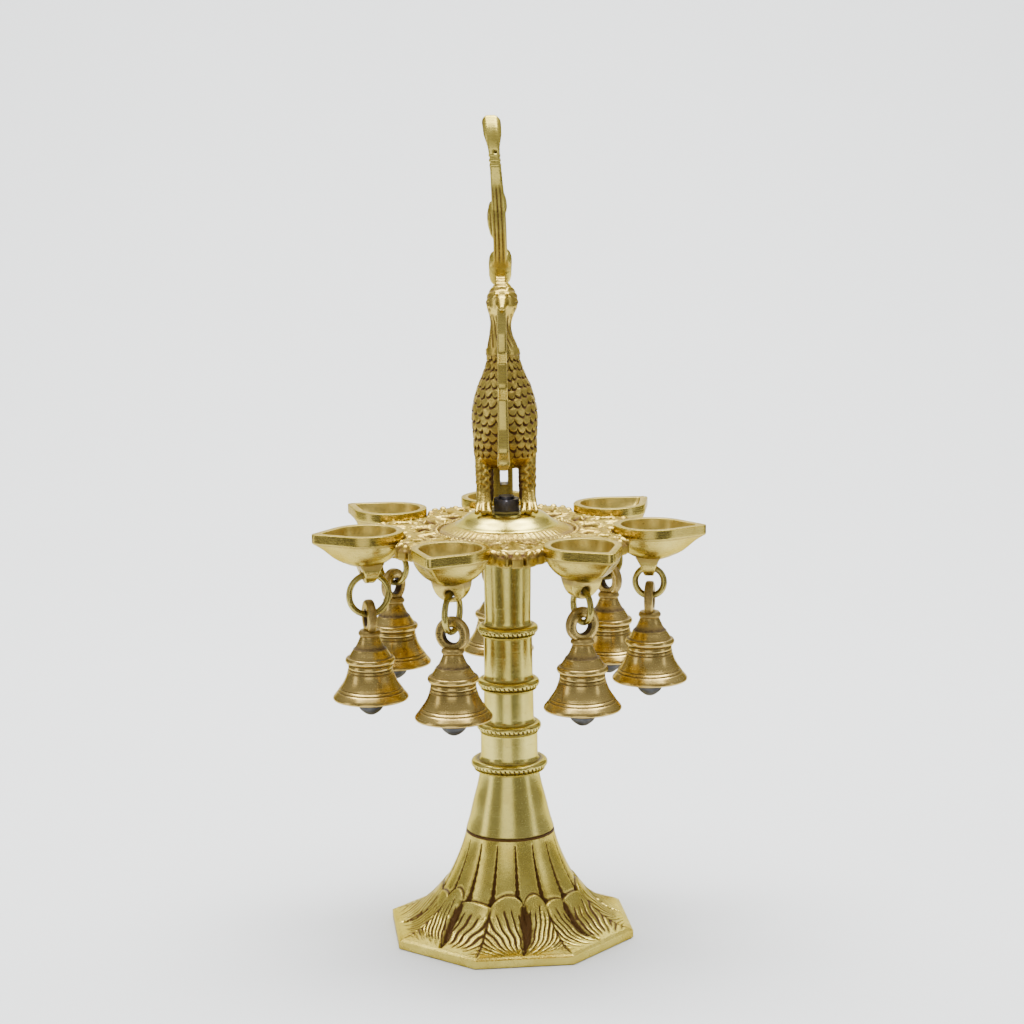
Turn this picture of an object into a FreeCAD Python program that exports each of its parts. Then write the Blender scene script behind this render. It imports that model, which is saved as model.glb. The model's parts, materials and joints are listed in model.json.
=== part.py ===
"""Standing brass oil lamp (samai): lotus base, ringed stem, seven-well tray with bells, peacock finial.

Millimetres. The stem axis is Z, the floor is z = 0, and the front of the bird faces -Y.
Every function returns one solid piece, and each piece is written to its own STEP file.
"""
import FreeCAD, Part
import math
import os
from FreeCAD import Vector

# ---- tie rod and its fasteners (M8) ----
ROD_RADIUS = 4.0
ROD_BORE = 4.3
ROD_BOTTOM = 38.0
ROD_TOP = 234.6
NUT_FLATS = 13.0
NUT_HEIGHT = 6.5
WASHER_RADIUS = 12.0
WASHER_HEIGHT = 2.0

# ---- lotus base ----
BASE_CORNER_RADIUS = 67.06
BASE_SIDES = 8
BASE_CORNER_ANGLE = -16.3
BASE_RIM = 4.3
BASE_TOP = 56.0
BASE_TOP_RADIUS = 23.2
BASE_WEB_BOTTOM = 50.0
BASE_FLARE = [(56.0, 8.6), (45.0, 15.8), (36.0, 24.7), (29.0, 38.0), (24.5, 50.0)]
BASE_MOUTH_RADIUS = 58.4
BASE_MOUTH_HEIGHT = 1.6
BASE_HOLLOW = [(50.0, 6.6), (41.5, 12.4), (32.5, 21.6), (25.5, 35.6), (21.0, BASE_WEB_BOTTOM)]

# ---- stem: seats of the rope collars from the bottom up, and the tubes between them ----
COLLAR_HEIGHT = 4.4
COLLAR_MIDDLES = (92.0, 112.0, 135.4, 164.3)
COLLAR_RADII = (20.2, 17.0, 16.3, 15.9)
TUBE_RADII = (15.0, 13.0, 12.7, 12.2)
TUBE_WALL = 2.6
FOOT_TOP_RADIUS = 15.3
FOOT_OUTSIDE = [(21.4, 63.0), (19.2, 71.5), (16.9, 80.0)]
FOOT_INSIDE = [(14.2, 80.0), (16.5, 71.5), (18.6, 63.0), (20.2, 56.0)]

# ---- tray ----
TRAY_BOTTOM = 210.0
TRAY_TOP = 218.0
TRAY_RADIUS = 60.0
LOBE_CENTRE = 62.0
LOBE_RADIUS = 12.0
PIERCINGS = ((42.0, 3.4), (53.0, 2.8), (64.0, 2.8))

# ---- the seven wells, each with its lug, ring, bell and clapper ----
WELLS = 7
WELL_STEP = 360.0 / WELLS
WELL_FIRST_ANGLE = -124.4
WELL_CENTRE = 75.5
WELL_RADIUS = 19.5
WELL_TIP = 28.0
WELL_RIM = 221.0
WELL_SHOULDER = 216.0
# each level's height, the radius of its round back, and how far its tip reaches
WELL_OUTSIDE = (
    (WELL_SHOULDER, WELL_RADIUS, WELL_TIP), (213.0, 18.2, 23.8), (210.0, 16.2, 19.4), (207.0, 13.4, 15.4),
    (204.5, 9.8, 10.9), (202.6, 5.5, 6.1),
)
WELL_INSIDE = (
    (WELL_RIM + 0.5, 15.5, 22.8), (218.0, 15.1, 21.0), (214.0, 13.4, 16.6), (210.6, 10.2, 11.8), (208.2, 5.8, 6.6),
)
TIP_HALF_WIDTH_SHARE = 0.08
HANG_RADIUS = 74.5
LUG_CENTRE = 202.4
LUG_RADIUS = 8.8
LUG_TOP = 206.8
LUG_TOP_THICKNESS = 12.0
LUG_FOOT_THICKNESS = 4.5
LUG_HOLE_Z = 198.1
LUG_HOLE_RADIUS = 2.5
LUG_REACH = 12.0

RING_WIRE = 1.5
RING_DIAMETERS = (17.8, 20.9, 19.6, 16.5, 15.0, 17.8, 18.8)
RING_SPLIT = 0.5
SPLIT_CUTTER = 8.0

BELL_EYE_BELOW_WIRE = 1.7
BELL_EYE_HOLE = 4.0
BELL_EYE_RADIUS = 9.0
BELL_EYE_RISE = 0.5
BELL_EYE_THICKNESS = 4.6
BELL_RIM_DROP = 42.8
BELL_MOUTH_RADIUS = 19.65
BELL_LIP_RADIUS = 19.2
BELL_LIP_INSIDE = 17.8

CLAPPER_PIVOT_DROP = 17.0
STAPLE_RADIUS = 0.9
STAPLE_HALF_SPAN = 3.6
STAPLE_LEG = 5.0
CLAPPER_EYE_RADIUS = 2.4
CLAPPER_EYE_WIRE = 0.8
CLAPPER_EYE_PLAY = 0.1
CLAPPER_SHANK_RADIUS = 1.1
CLAPPER_BOB_RADIUS = 6.5
CLAPPER_END_RADIUS = 1.0
CLAPPER_END_DROP = 34.4

# ---- dome and bird ----
DOME_TOP = 226.8
DOME_FLANGE_RADIUS = 27.4
DOME_FLANGE_TOP = 219.3
LEG_SPREAD = 11.7
CREST_RADIUS = 8.6
CREST_THICKNESS = 4.4
BEAK_LENGTH = 9.5
BIRD_LEAN = -0.5
CREST_OFFSET = -0.7
TAIL_OFFSET = -1.9
TAIL_LEAN = -3.2
TAIL_LEAN_Z = 362.0
TAIL_OVERLAP = 2.0
TAIL_THICKNESS = 6.5
TAIL_FOOT_THICKNESS = 11.0
TAIL_FOOT_TOP = 252.0
TAIL_SLOT_WIDTH = 4.0
TAIL_SLOT_BOTTOM = 238.0
TAIL_REACH = 70.0
SERPENT_WIDTH = 5.6
SERPENT_THICKNESS = 3.4
SERPENT_OFFSET = -0.7

CUT_PAST = 1.0
TOUCH = 1e-6
Z_AXIS = Vector(0, 0, 1)
ORIGIN = Vector(0, 0, 0)


def in_turning_plane(r, z):
    return Vector(r, 0, z)


def in_side_plane(y, z):
    return Vector(0, y, z)


def outline(path, place):
    """A closed face: points are joined by lines, two nested points by an arc, more by a smooth curve."""
    edges = []
    last = place(*path[0])
    for item in path[1:]:
        if isinstance(item, tuple):
            end = place(*item)
            edges.append(Part.LineSegment(last, end).toShape())
        elif len(item) == 2:
            end = place(*item[1])
            edges.append(Part.Arc(last, place(*item[0]), end).toShape())
        else:
            end = place(*item[-1])
            curve = Part.BSplineCurve()
            curve.interpolate([last] + [place(*point) for point in item])
            edges.append(curve.toShape())
        last = end
    start = place(*path[0])
    if last.distanceToPoint(start) > TOUCH:
        edges.append(Part.LineSegment(last, start).toShape())
    return Part.Face(Part.Wire(edges))


def turned(path):
    return outline(path, in_turning_plane).revolve(ORIGIN, Z_AXIS, 360)


def plate(path, thickness):
    """A side-on outline given thickness along X, centred on the sagittal plane."""
    face = outline(path, in_side_plane)
    face.translate(Vector(-thickness / 2, 0, 0))
    return face.extrude(Vector(thickness, 0, 0))


def cylinder(radius, bottom, top, x=0.0, y=0.0):
    return Part.makeCylinder(radius, top - bottom, Vector(x, y, bottom))


def bore(radius, bottom, top):
    """A cutter on the axis that runs out past both faces."""
    return cylinder(radius, bottom - CUT_PAST, top + CUT_PAST)


def hexagon(flats, bottom, height):
    corner = flats / math.sqrt(3)
    angles = [math.radians(30 + 60 * side) for side in range(6)]
    points = [Vector(corner * math.cos(a), corner * math.sin(a), bottom) for a in angles]
    face = Part.Face(Part.makePolygon(points + points[:1]))
    return face.extrude(Vector(0, 0, height))


def polar(radius, degrees):
    """A place at this distance from the stem, the angle counted from the front (-Y) towards +X."""
    angle = math.radians(degrees)
    return radius * math.sin(angle), -radius * math.cos(angle)


# ---------------------------------------------------------------- base and stem
def lotus_base():
    flare = BASE_FLARE + [(BASE_TOP_RADIUS, BASE_TOP)]
    body = turned([(0, 0), (BASE_CORNER_RADIUS, 0), (BASE_CORNER_RADIUS, BASE_RIM), flare, (0, BASE_TOP)])
    angles = [BASE_CORNER_ANGLE + 360.0 / BASE_SIDES * side for side in range(BASE_SIDES + 1)]
    corners = [Vector(*polar(BASE_CORNER_RADIUS, angle), 0) for angle in angles]
    body = body.common(Part.Face(Part.makePolygon(corners)).extrude(Vector(0, 0, BASE_TOP)))
    mouth = [(0, -CUT_PAST), (BASE_MOUTH_RADIUS, -CUT_PAST), (BASE_MOUTH_RADIUS, BASE_MOUTH_HEIGHT)]
    body = body.cut(turned(mouth + [BASE_HOLLOW, (0, BASE_WEB_BOTTOM)]))
    return body.cut(bore(ROD_BORE, BASE_WEB_BOTTOM, BASE_TOP))


def tie_rod():
    return cylinder(ROD_RADIUS, ROD_BOTTOM, ROD_TOP)


def nut(bottom):
    body = hexagon(NUT_FLATS, bottom, NUT_HEIGHT)
    return body.cut(bore(ROD_RADIUS, bottom, bottom + NUT_HEIGHT))


def base_washer():
    bottom = BASE_WEB_BOTTOM - WASHER_HEIGHT
    disc = cylinder(WASHER_RADIUS, bottom, BASE_WEB_BOTTOM)
    return disc.cut(bore(ROD_BORE, bottom, BASE_WEB_BOTTOM))


def collar_bottom(level):
    return COLLAR_MIDDLES[level] - COLLAR_HEIGHT / 2


def collar_top(level):
    return COLLAR_MIDDLES[level] + COLLAR_HEIGHT / 2


def stem_foot():
    top = collar_bottom(0)
    outside = FOOT_OUTSIDE + [(FOOT_TOP_RADIUS, top)]
    inner_top = (FOOT_TOP_RADIUS - TUBE_WALL, top)
    return turned([FOOT_INSIDE[-1], (BASE_TOP_RADIUS, BASE_TOP), outside, inner_top, FOOT_INSIDE])


def stem_tube(level):
    radius = TUBE_RADII[level]
    bottom = collar_top(level)
    top = collar_bottom(level + 1) if level + 1 < len(TUBE_RADII) else TRAY_BOTTOM
    return cylinder(radius, bottom, top).cut(bore(radius - TUBE_WALL, bottom, top))


def rope_collar(level):
    bottom = collar_bottom(level)
    top = collar_top(level)
    shoulder = COLLAR_RADII[level] - COLLAR_HEIGHT / 2
    bead = [(COLLAR_RADII[level], COLLAR_MIDDLES[level]), (shoulder, top)]
    return turned([(ROD_BORE, bottom), (shoulder, bottom), bead, (ROD_BORE, top)])


# ---------------------------------------------------------------- wells, made at the front
def well_wire(z, radius, tip):
    """The drop-shaped outline of a well at one level: a round back with straight sides to a blunt tip."""
    half = TIP_HALF_WIDTH_SHARE * tip
    slope = math.asin(radius / math.hypot(tip, half)) - math.atan2(half, tip)
    side = Vector(radius * math.cos(slope), -radius * math.sin(slope), 0)
    points = {
        "right": side,
        "left": Vector(-side.x, side.y, 0),
        "back": Vector(0, radius, 0),
        "tip_right": Vector(half, -tip, 0),
        "tip_left": Vector(-half, -tip, 0),
    }
    at = {name: p + Vector(0, -WELL_CENTRE, z) for name, p in points.items()}
    edges = [
        Part.Arc(at["right"], at["back"], at["left"]).toShape(),
        Part.LineSegment(at["left"], at["tip_left"]).toShape(),
        Part.LineSegment(at["tip_left"], at["tip_right"]).toShape(),
        Part.LineSegment(at["tip_right"], at["right"]).toShape(),
    ]
    return Part.Wire(edges)


def well_prism(bottom, top):
    return Part.Face(well_wire(bottom, WELL_RADIUS, WELL_TIP)).extrude(Vector(0, 0, top - bottom))


def lug():
    """The plate under a well that the ring hangs from: half round from the front, tapering from the side."""
    near = -HANG_RADIUS - LUG_REACH
    long = 2 * LUG_REACH
    backwards = Vector(0, 1, 0)
    front = Part.makeCylinder(LUG_RADIUS, long, Vector(0, near, LUG_CENTRE), backwards)
    block_corner = Vector(-LUG_RADIUS, near, LUG_CENTRE)
    block = Part.makeBox(2 * LUG_RADIUS, long, LUG_TOP - LUG_CENTRE, block_corner)
    foot = LUG_CENTRE - LUG_RADIUS
    wide = LUG_TOP_THICKNESS / 2
    thin = LUG_FOOT_THICKNESS / 2
    sides = [(-HANG_RADIUS - wide, LUG_TOP), (-HANG_RADIUS - thin, foot), (-HANG_RADIUS + thin, foot)]
    taper = plate(sides + [(-HANG_RADIUS + wide, LUG_TOP)], 2 * (LUG_RADIUS + CUT_PAST))
    hole = Part.makeCylinder(LUG_HOLE_RADIUS, long, Vector(0, near, LUG_HOLE_Z), backwards)
    return front.fuse(block).common(taper).cut(hole)


def oil_bowl():
    shell = Part.makeLoft([well_wire(*level) for level in WELL_OUTSIDE], True, False)
    shell = shell.fuse(well_prism(WELL_SHOULDER, WELL_RIM)).fuse(lug())
    hollow = Part.makeLoft([well_wire(*level) for level in WELL_INSIDE], True, False)
    return shell.cut(hollow)


def ring(diameter):
    """A wire ring with a thin split at the side."""
    centre = Vector(0, -HANG_RADIUS, LUG_HOLE_Z - diameter / 2)
    wire = Part.makeTorus(diameter / 2, RING_WIRE, centre, Vector(1, 0, 0))
    half = SPLIT_CUTTER / 2
    corner = centre + Vector(-half, diameter / 2 - half, -RING_SPLIT / 2)
    return wire.cut(Part.makeBox(SPLIT_CUTTER, SPLIT_CUTTER, RING_SPLIT, corner))


def bell_eye_z(diameter):
    return LUG_HOLE_Z - diameter - BELL_EYE_BELOW_WIRE


def bell(diameter):
    """A flared bell turned in one piece, with an upright eye on its crown; levels count down from the eye."""
    eye = bell_eye_z(diameter)
    outside = [
        (0, -7.0), (5.2, -7.0), (5.6, -8.0), (5.6, -9.2), (5.0, -9.8),
        [(6.2, -12.5), (7.6, -15.4), (8.4, -16.2)], (8.9, -16.9),
        [(9.6, -18.0), (10.4, -19.4), (10.9, -20.2)],
        [(12.8, -22.0), (11.2, -24.2)], (11.2, -26.2), (11.9, -29.6),
        [(13.6, -33.0), (15.6, -36.4), (17.6, -39.2)],
        [(BELL_LIP_RADIUS, -41.0), (BELL_MOUTH_RADIUS, -42.0), (BELL_LIP_RADIUS, -BELL_RIM_DROP)],
        (BELL_LIP_INSIDE, -BELL_RIM_DROP),
        [(16.9, -41.2), (13.9, -36.4), (11.9, -33.0), (10.4, -30.4)], (9.4, -27.0), (9.0, -21.0),
        [(7.6, -18.0), (6.4, -15.2), (4.0, -13.4)], (0, -13.0),
    ]
    body = turned(outside)
    near = -BELL_EYE_THICKNESS / 2
    backwards = Vector(0, 1, 0)
    loop = Part.makeCylinder(BELL_EYE_RADIUS, BELL_EYE_THICKNESS, Vector(0, near, BELL_EYE_RISE), backwards)
    hole_length = BELL_EYE_THICKNESS + 2 * CUT_PAST
    hole = Part.makeCylinder(BELL_EYE_HOLE, hole_length, Vector(0, near - CUT_PAST, 0), backwards)
    whole = body.fuse(loop).cut(hole)
    whole.translate(Vector(0, -HANG_RADIUS, eye))
    return whole


def clapper_staple(diameter):
    """A wire staple hammered into the crown: a level bar with two legs."""
    pivot = bell_eye_z(diameter) - CLAPPER_PIVOT_DROP
    side = Vector(STAPLE_HALF_SPAN, 0, 0)
    low = Vector(0, -HANG_RADIUS, pivot)
    bar = Part.makeCylinder(STAPLE_RADIUS, 2 * STAPLE_HALF_SPAN, low - side, Vector(1, 0, 0))
    for corner in (low - side, low + side):
        bar = bar.fuse(Part.makeSphere(STAPLE_RADIUS, corner))
        bar = bar.fuse(Part.makeCylinder(STAPLE_RADIUS, STAPLE_LEG, corner, Z_AXIS))
    return bar


def clapper(diameter):
    """A rod with a loop over the staple's bar and a heavy pointed end."""
    loop_drop = CLAPPER_EYE_RADIUS - CLAPPER_EYE_WIRE - STAPLE_RADIUS - CLAPPER_EYE_PLAY
    loop_centre = Vector(0, 0, -loop_drop)
    loop = Part.makeTorus(CLAPPER_EYE_RADIUS, CLAPPER_EYE_WIRE, loop_centre, Vector(1, 0, 0))
    shank_top = -loop_drop - CLAPPER_EYE_RADIUS
    shank = [(0, shank_top), (CLAPPER_SHANK_RADIUS, shank_top), (CLAPPER_SHANK_RADIUS, -20.0)]
    bob = [(3.4, -23.8), (CLAPPER_BOB_RADIUS, -28.6), (5.6, -31.0)]
    end = [(CLAPPER_END_RADIUS, -CLAPPER_END_DROP), (0, -CLAPPER_END_DROP)]
    whole = loop.fuse(turned(shank + [bob] + end))
    pivot = bell_eye_z(diameter) - CLAPPER_PIVOT_DROP
    whole.translate(Vector(0, -HANG_RADIUS, pivot))
    return whole


# ---------------------------------------------------------------- tray
def well_angle(number):
    return WELL_FIRST_ANGLE + WELL_STEP * number


def around(shape, number):
    """Turn a piece made at the front to the place of this well."""
    placed = shape.copy()
    placed.rotate(ORIGIN, Z_AXIS, well_angle(number))
    return placed


def openwork_tray():
    """A disc with a pierced lobe between each two wells."""
    disc = cylinder(TRAY_RADIUS, TRAY_BOTTOM, TRAY_TOP)
    between = [well_angle(number) + WELL_STEP / 2 for number in range(WELLS)]
    for angle in between:
        disc = disc.fuse(cylinder(LOBE_RADIUS, TRAY_BOTTOM, TRAY_TOP, *polar(LOBE_CENTRE, angle)))
    well = well_prism(TRAY_BOTTOM - CUT_PAST, TRAY_TOP + CUT_PAST)
    for number in range(WELLS):
        disc = disc.cut(around(well, number))
        for distance, radius in PIERCINGS:
            x, y = polar(distance, between[number])
            disc = disc.cut(cylinder(radius, TRAY_BOTTOM - CUT_PAST, TRAY_TOP + CUT_PAST, x, y))
    return disc.cut(bore(ROD_BORE, TRAY_BOTTOM, TRAY_TOP))


def dome():
    flange = [(ROD_BORE, TRAY_TOP), (DOME_FLANGE_RADIUS, TRAY_TOP), (DOME_FLANGE_RADIUS, DOME_FLANGE_TOP)]
    crown = [(22.8, 220.4), [(20.6, 224.8), (16.6, DOME_TOP)]]
    return turned(flange + crown + [(ROD_BORE, DOME_TOP)])


# ---------------------------------------------------------------- peacock
def oval(half_width, half_depth, y, z, x=0.0):
    middle = Vector(x, y, z)
    deep = middle + Vector(0, half_depth, 0)
    wide = middle + Vector(half_width, 0, 0)
    return Part.Wire(Part.Ellipse(deep, wide, middle).toShape())


def lean(shape, degrees, z):
    shape.rotate(Vector(0, 0, z), Vector(0, 1, 0), degrees)
    return shape


def loft_of(sections, x=0.0):
    """A solid through level ovals, each half width, half depth, y and z."""
    return Part.makeLoft([oval(*section, x) for section in sections], True, False)


def peacock():
    """Body, neck and head as one loft of ovals, with two legs, a beak and a crest."""
    torso = (
        (7.0, 8.0, 2.0, 249.5), (13.2, 14.5, 2.0, 256.0), (15.6, 19.0, 2.0, 263.5), (16.7, 21.6, 2.0, 275.0),
        (15.6, 20.6, 2.0, 285.0), (13.4, 17.6, 0.0, 292.0), (10.4, 14.0, -3.0, 299.0), (8.2, 10.8, -6.0, 306.0),
        (7.8, 9.2, -8.0, 313.0), (5.7, 7.0, -9.5, 324.0), (6.4, 8.0, -10.0, 330.0), (7.7, 10.0, -10.5, 336.0),
        (6.2, 8.4, -10.0, 342.0), (2.6, 4.4, -9.0, 346.5),
    )
    leg = (
        (5.0, 9.0, -3.0, DOME_TOP), (4.4, 7.4, -2.0, 230.0), (3.8, 4.6, 0.0, 236.0), (3.8, 5.0, 1.0, 248.0),
        (4.0, 6.0, 2.0, 262.0),
    )
    whole = loft_of(torso)
    for side in (-LEG_SPREAD, LEG_SPREAD):
        whole = whole.fuse(loft_of(leg, side))
    crest_side = Vector(CREST_OFFSET - CREST_THICKNESS / 2, -6.5, 340.6)
    whole = whole.fuse(Part.makeCylinder(CREST_RADIUS, CREST_THICKNESS, crest_side, Vector(1, 0, 0)))
    beak_root = Vector(0, -17.5, 336.0)
    whole = whole.fuse(Part.makeCone(3.4, 1.6, BEAK_LENGTH, beak_root, Vector(0, -1, -0.25)))
    return lean(whole, BIRD_LEAN, DOME_TOP)


def slab(bottom, top, half_width):
    """A block between two heights, as wide as this each way from the sagittal plane."""
    corner = Vector(-half_width, -TAIL_REACH, bottom)
    return Part.makeBox(2 * half_width, 2 * TAIL_REACH, top - bottom, corner)


def peacock_tail():
    """The tall tail plate: it stands on the dome, sweeps back behind the bird, and curls over the head."""
    front = [
        (11.5, 238.0), (17.0, 252.0), (21.5, 266.0), (24.5, 282.0), (31.0, 304.0), (32.0, 325.0),
        (25.0, 345.0), (14.0, 364.0), (4.0, 381.0), (-2.0, 396.0), (-3.0, 408.0), (-0.5, 420.0),
        (1.5, 430.0),
    ]
    back = [
        (9.5, 418.0), (8.0, 407.0), (11.0, 396.0), (20.0, 383.0), (34.0, 367.0), (48.0, 347.0),
        (56.0, 324.0), (58.0, 300.0), (53.0, 276.0), (42.0, 255.0), (27.0, 240.0), (16.0, DOME_TOP),
    ]
    path = [(9.8, DOME_TOP), front, (9.0, 429.0), back]
    fan = plate(path, TAIL_THICKNESS)
    foot = plate(path, TAIL_FOOT_THICKNESS).common(slab(0.0, TAIL_FOOT_TOP, TAIL_REACH))
    lower = fan.common(slab(0.0, TAIL_LEAN_Z + TAIL_OVERLAP, TAIL_REACH))
    upper = fan.common(slab(TAIL_LEAN_Z - TAIL_OVERLAP, 2 * TAIL_LEAN_Z, TAIL_REACH))
    whole = lower.fuse(lean(upper, TAIL_LEAN, TAIL_LEAN_Z)).fuse(foot)
    whole = whole.cut(slab(TAIL_SLOT_BOTTOM, TAIL_FOOT_TOP + CUT_PAST, TAIL_SLOT_WIDTH / 2))
    whole.translate(Vector(TAIL_OFFSET, 0, 0))
    return whole


def serpent():
    """The wavy strip that hangs from the beak down the breast."""
    middle = (
        (-25.2, 336.5), (-26.6, 322.0), (-23.6, 310.0), (-22.2, 300.0), (-24.0, 288.0),
        (-22.6, 276.0), (-21.9, 262.0), (-22.6, 252.3),
    )
    half = SERPENT_THICKNESS / 2
    front = [(y - half, z) for y, z in middle]
    back = [(y + half, z) for y, z in reversed(middle)]
    whole = plate([front[0], front[1:], back[0], back[1:]], SERPENT_WIDTH)
    whole.translate(Vector(SERPENT_OFFSET, 0, 0))
    return lean(whole, BIRD_LEAN, DOME_TOP)


def pieces():
    """Every piece of the lamp by its node name."""
    made = {
        "lotus_base": lotus_base(),
        "tie_rod": tie_rod(),
        "base_nut": nut(BASE_WEB_BOTTOM - WASHER_HEIGHT - NUT_HEIGHT),
        "base_washer": base_washer(),
        "stem_foot": stem_foot(),
        "openwork_tray": openwork_tray(),
        "dome": dome(),
        "top_nut": nut(DOME_TOP),
        "peacock": peacock(),
        "peacock_tail": peacock_tail(),
        "serpent": serpent(),
    }
    for level in range(len(TUBE_RADII)):
        made[f"stem_tube_{level + 1}"] = stem_tube(level)
        made[f"rope_collar_{level + 1}"] = rope_collar(level)
    bowl = oil_bowl()
    for number, diameter in enumerate(RING_DIAMETERS):
        label = number + 1
        made[f"oil_bowl_{label}"] = around(bowl, number)
        made[f"ring_{label}"] = around(ring(diameter), number)
        made[f"bell_{label}"] = around(bell(diameter), number)
        made[f"clapper_staple_{label}"] = around(clapper_staple(diameter), number)
        made[f"clapper_{label}"] = around(clapper(diameter), number)
    return made


os.makedirs("parts", exist_ok=True)
for name, shape in pieces().items():
    solid = shape.Solids[0] if len(shape.Solids) == 1 else shape
    print(f"{name:20s} solids {len(shape.Solids)} valid {shape.isValid()} volume {shape.Volume:9.1f} mm3")
    solid.exportStep(f"parts/{name}.step")
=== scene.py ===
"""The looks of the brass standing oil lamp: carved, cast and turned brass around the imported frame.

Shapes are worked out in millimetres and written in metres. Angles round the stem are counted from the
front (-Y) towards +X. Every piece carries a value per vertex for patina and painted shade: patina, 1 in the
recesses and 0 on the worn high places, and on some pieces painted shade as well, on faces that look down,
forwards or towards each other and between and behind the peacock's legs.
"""
import json
import math

import bpy
import numpy as np
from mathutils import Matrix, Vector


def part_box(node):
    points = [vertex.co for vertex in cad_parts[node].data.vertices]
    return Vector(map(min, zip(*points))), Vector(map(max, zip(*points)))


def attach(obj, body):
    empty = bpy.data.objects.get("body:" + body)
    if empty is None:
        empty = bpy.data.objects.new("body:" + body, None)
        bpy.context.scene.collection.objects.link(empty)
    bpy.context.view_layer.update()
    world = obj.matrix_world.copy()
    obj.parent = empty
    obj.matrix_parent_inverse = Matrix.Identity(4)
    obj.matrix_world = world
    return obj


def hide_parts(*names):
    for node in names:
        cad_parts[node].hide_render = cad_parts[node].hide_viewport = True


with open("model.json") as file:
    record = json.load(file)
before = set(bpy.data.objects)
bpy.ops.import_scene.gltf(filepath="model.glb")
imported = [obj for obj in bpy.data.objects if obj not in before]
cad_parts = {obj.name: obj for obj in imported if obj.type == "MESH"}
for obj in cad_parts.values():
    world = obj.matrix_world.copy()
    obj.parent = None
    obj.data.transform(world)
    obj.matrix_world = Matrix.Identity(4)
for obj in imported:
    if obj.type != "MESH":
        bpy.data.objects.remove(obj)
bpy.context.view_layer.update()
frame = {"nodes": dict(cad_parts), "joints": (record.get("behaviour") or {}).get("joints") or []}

import openvdb
from mathutils import Matrix, Vector

MM = 0.001
TAU = 2 * math.pi


# ================================================================ small helpers
def smooth(edge0, edge1, value):
    """0 up to edge0, 1 from edge1 on, and a soft step between them."""
    t = np.clip((value - edge0) / (edge1 - edge0), 0, 1)
    return t * t * (3 - 2 * t)


def between(value, rise0, rise1, fall0, fall1):
    """1 from rise1 to fall0, 0 before rise0 and after fall1."""
    return smooth(rise0, rise1, value) * (1 - smooth(fall0, fall1, value))


def falloff(distance, reach):
    """1 at no distance, falling evenly to 0 at the reach."""
    return np.clip(1 - distance / reach, 0, 1)


def line_at(value, middle, width):
    """A soft line, 1 where the value is at its middle."""
    return np.exp(-(((value - middle) / width) ** 2))


def wave(phase):
    """A wave from 0 to 1 with its crest at phase 0."""
    return 0.5 + 0.5 * np.cos(phase)


def full_turn(count):
    return np.arange(count) / count * TAU


def squared_circle(angles, power):
    """The two coordinates of a unit circle pushed out towards a square."""
    c, s = np.cos(angles), np.sin(angles)
    return np.sign(c) * np.abs(c) ** power, np.sign(s) * np.abs(s) ** power


def hermite(s, start, start_slope, end, end_slope):
    return (
        (2 * s**3 - 3 * s**2 + 1) * start
        + (s**3 - 2 * s**2 + s) * start_slope
        + (-2 * s**3 + 3 * s**2) * end
        + (s**3 - s**2) * end_slope
    )


def through(points, count):
    """count places along a smooth curve through the points."""
    p = np.asarray(points, float)
    gaps = np.linalg.norm(np.diff(p, axis=0), axis=1) ** 0.5
    knots = np.concatenate([[0], np.cumsum(gaps)])
    slope = np.gradient(p, knots, axis=0)
    t = np.linspace(0, knots[-1], count)
    i = np.clip(np.searchsorted(knots, t, side="right") - 1, 0, len(p) - 2)
    h = (knots[i + 1] - knots[i])[:, None]
    s = (t - knots[i])[:, None] / h
    return hermite(s, p[i], h * slope[i], p[i + 1], h * slope[i + 1])


def smooth_rows(points, times):
    """More rows between the given ones, on smooth curves that don't overshoot."""
    last = len(points) - 1
    t = np.linspace(0, last, last * times + 1)
    i = np.clip(t.astype(int), 0, last - 1)
    tangent = np.gradient(points, axis=0)
    limit = 3 * np.abs(points[i + 1] - points[i])
    one = np.clip(tangent[i], -limit, limit)
    two = np.clip(tangent[i + 1], -limit, limit)
    return hermite((t - i)[:, None, None], points[i], one, points[i + 1], two)


def averaged_row(values, times):
    """The values with their corners rounded off and both ends kept."""
    for _ in range(times):
        middle = (values[:-2] + 2 * values[1:-1] + values[2:]) / 4
        values = np.concatenate([values[:1], middle, values[-1:]])
    return values


def directions(path):
    """The unit vector along the path at each of its points."""
    ahead = np.gradient(path, axis=0)
    return ahead / np.linalg.norm(ahead, axis=1)[:, None]


def box_mm(node):
    lo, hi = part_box(node)
    return np.array(lo) / MM, np.array(hi) / MM


def turned_about_stem(points, degrees):
    """Points made at the front, carried round the stem."""
    a = math.radians(degrees)
    c, s = math.cos(a), math.sin(a)
    x, y, z = points[..., 0], points[..., 1], points[..., 2]
    return np.stack([x * c - y * s, x * s + y * c, z], -1)


def leaning(points, degrees, height):
    """Points tipped to the side about a level line through the axis at this height."""
    a = math.radians(degrees)
    c, s = math.cos(a), math.sin(a)
    x, z = points[..., 0], points[..., 2] - height
    return np.stack([x * c + z * s, points[..., 1], height - x * s + z * c], -1)


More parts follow.
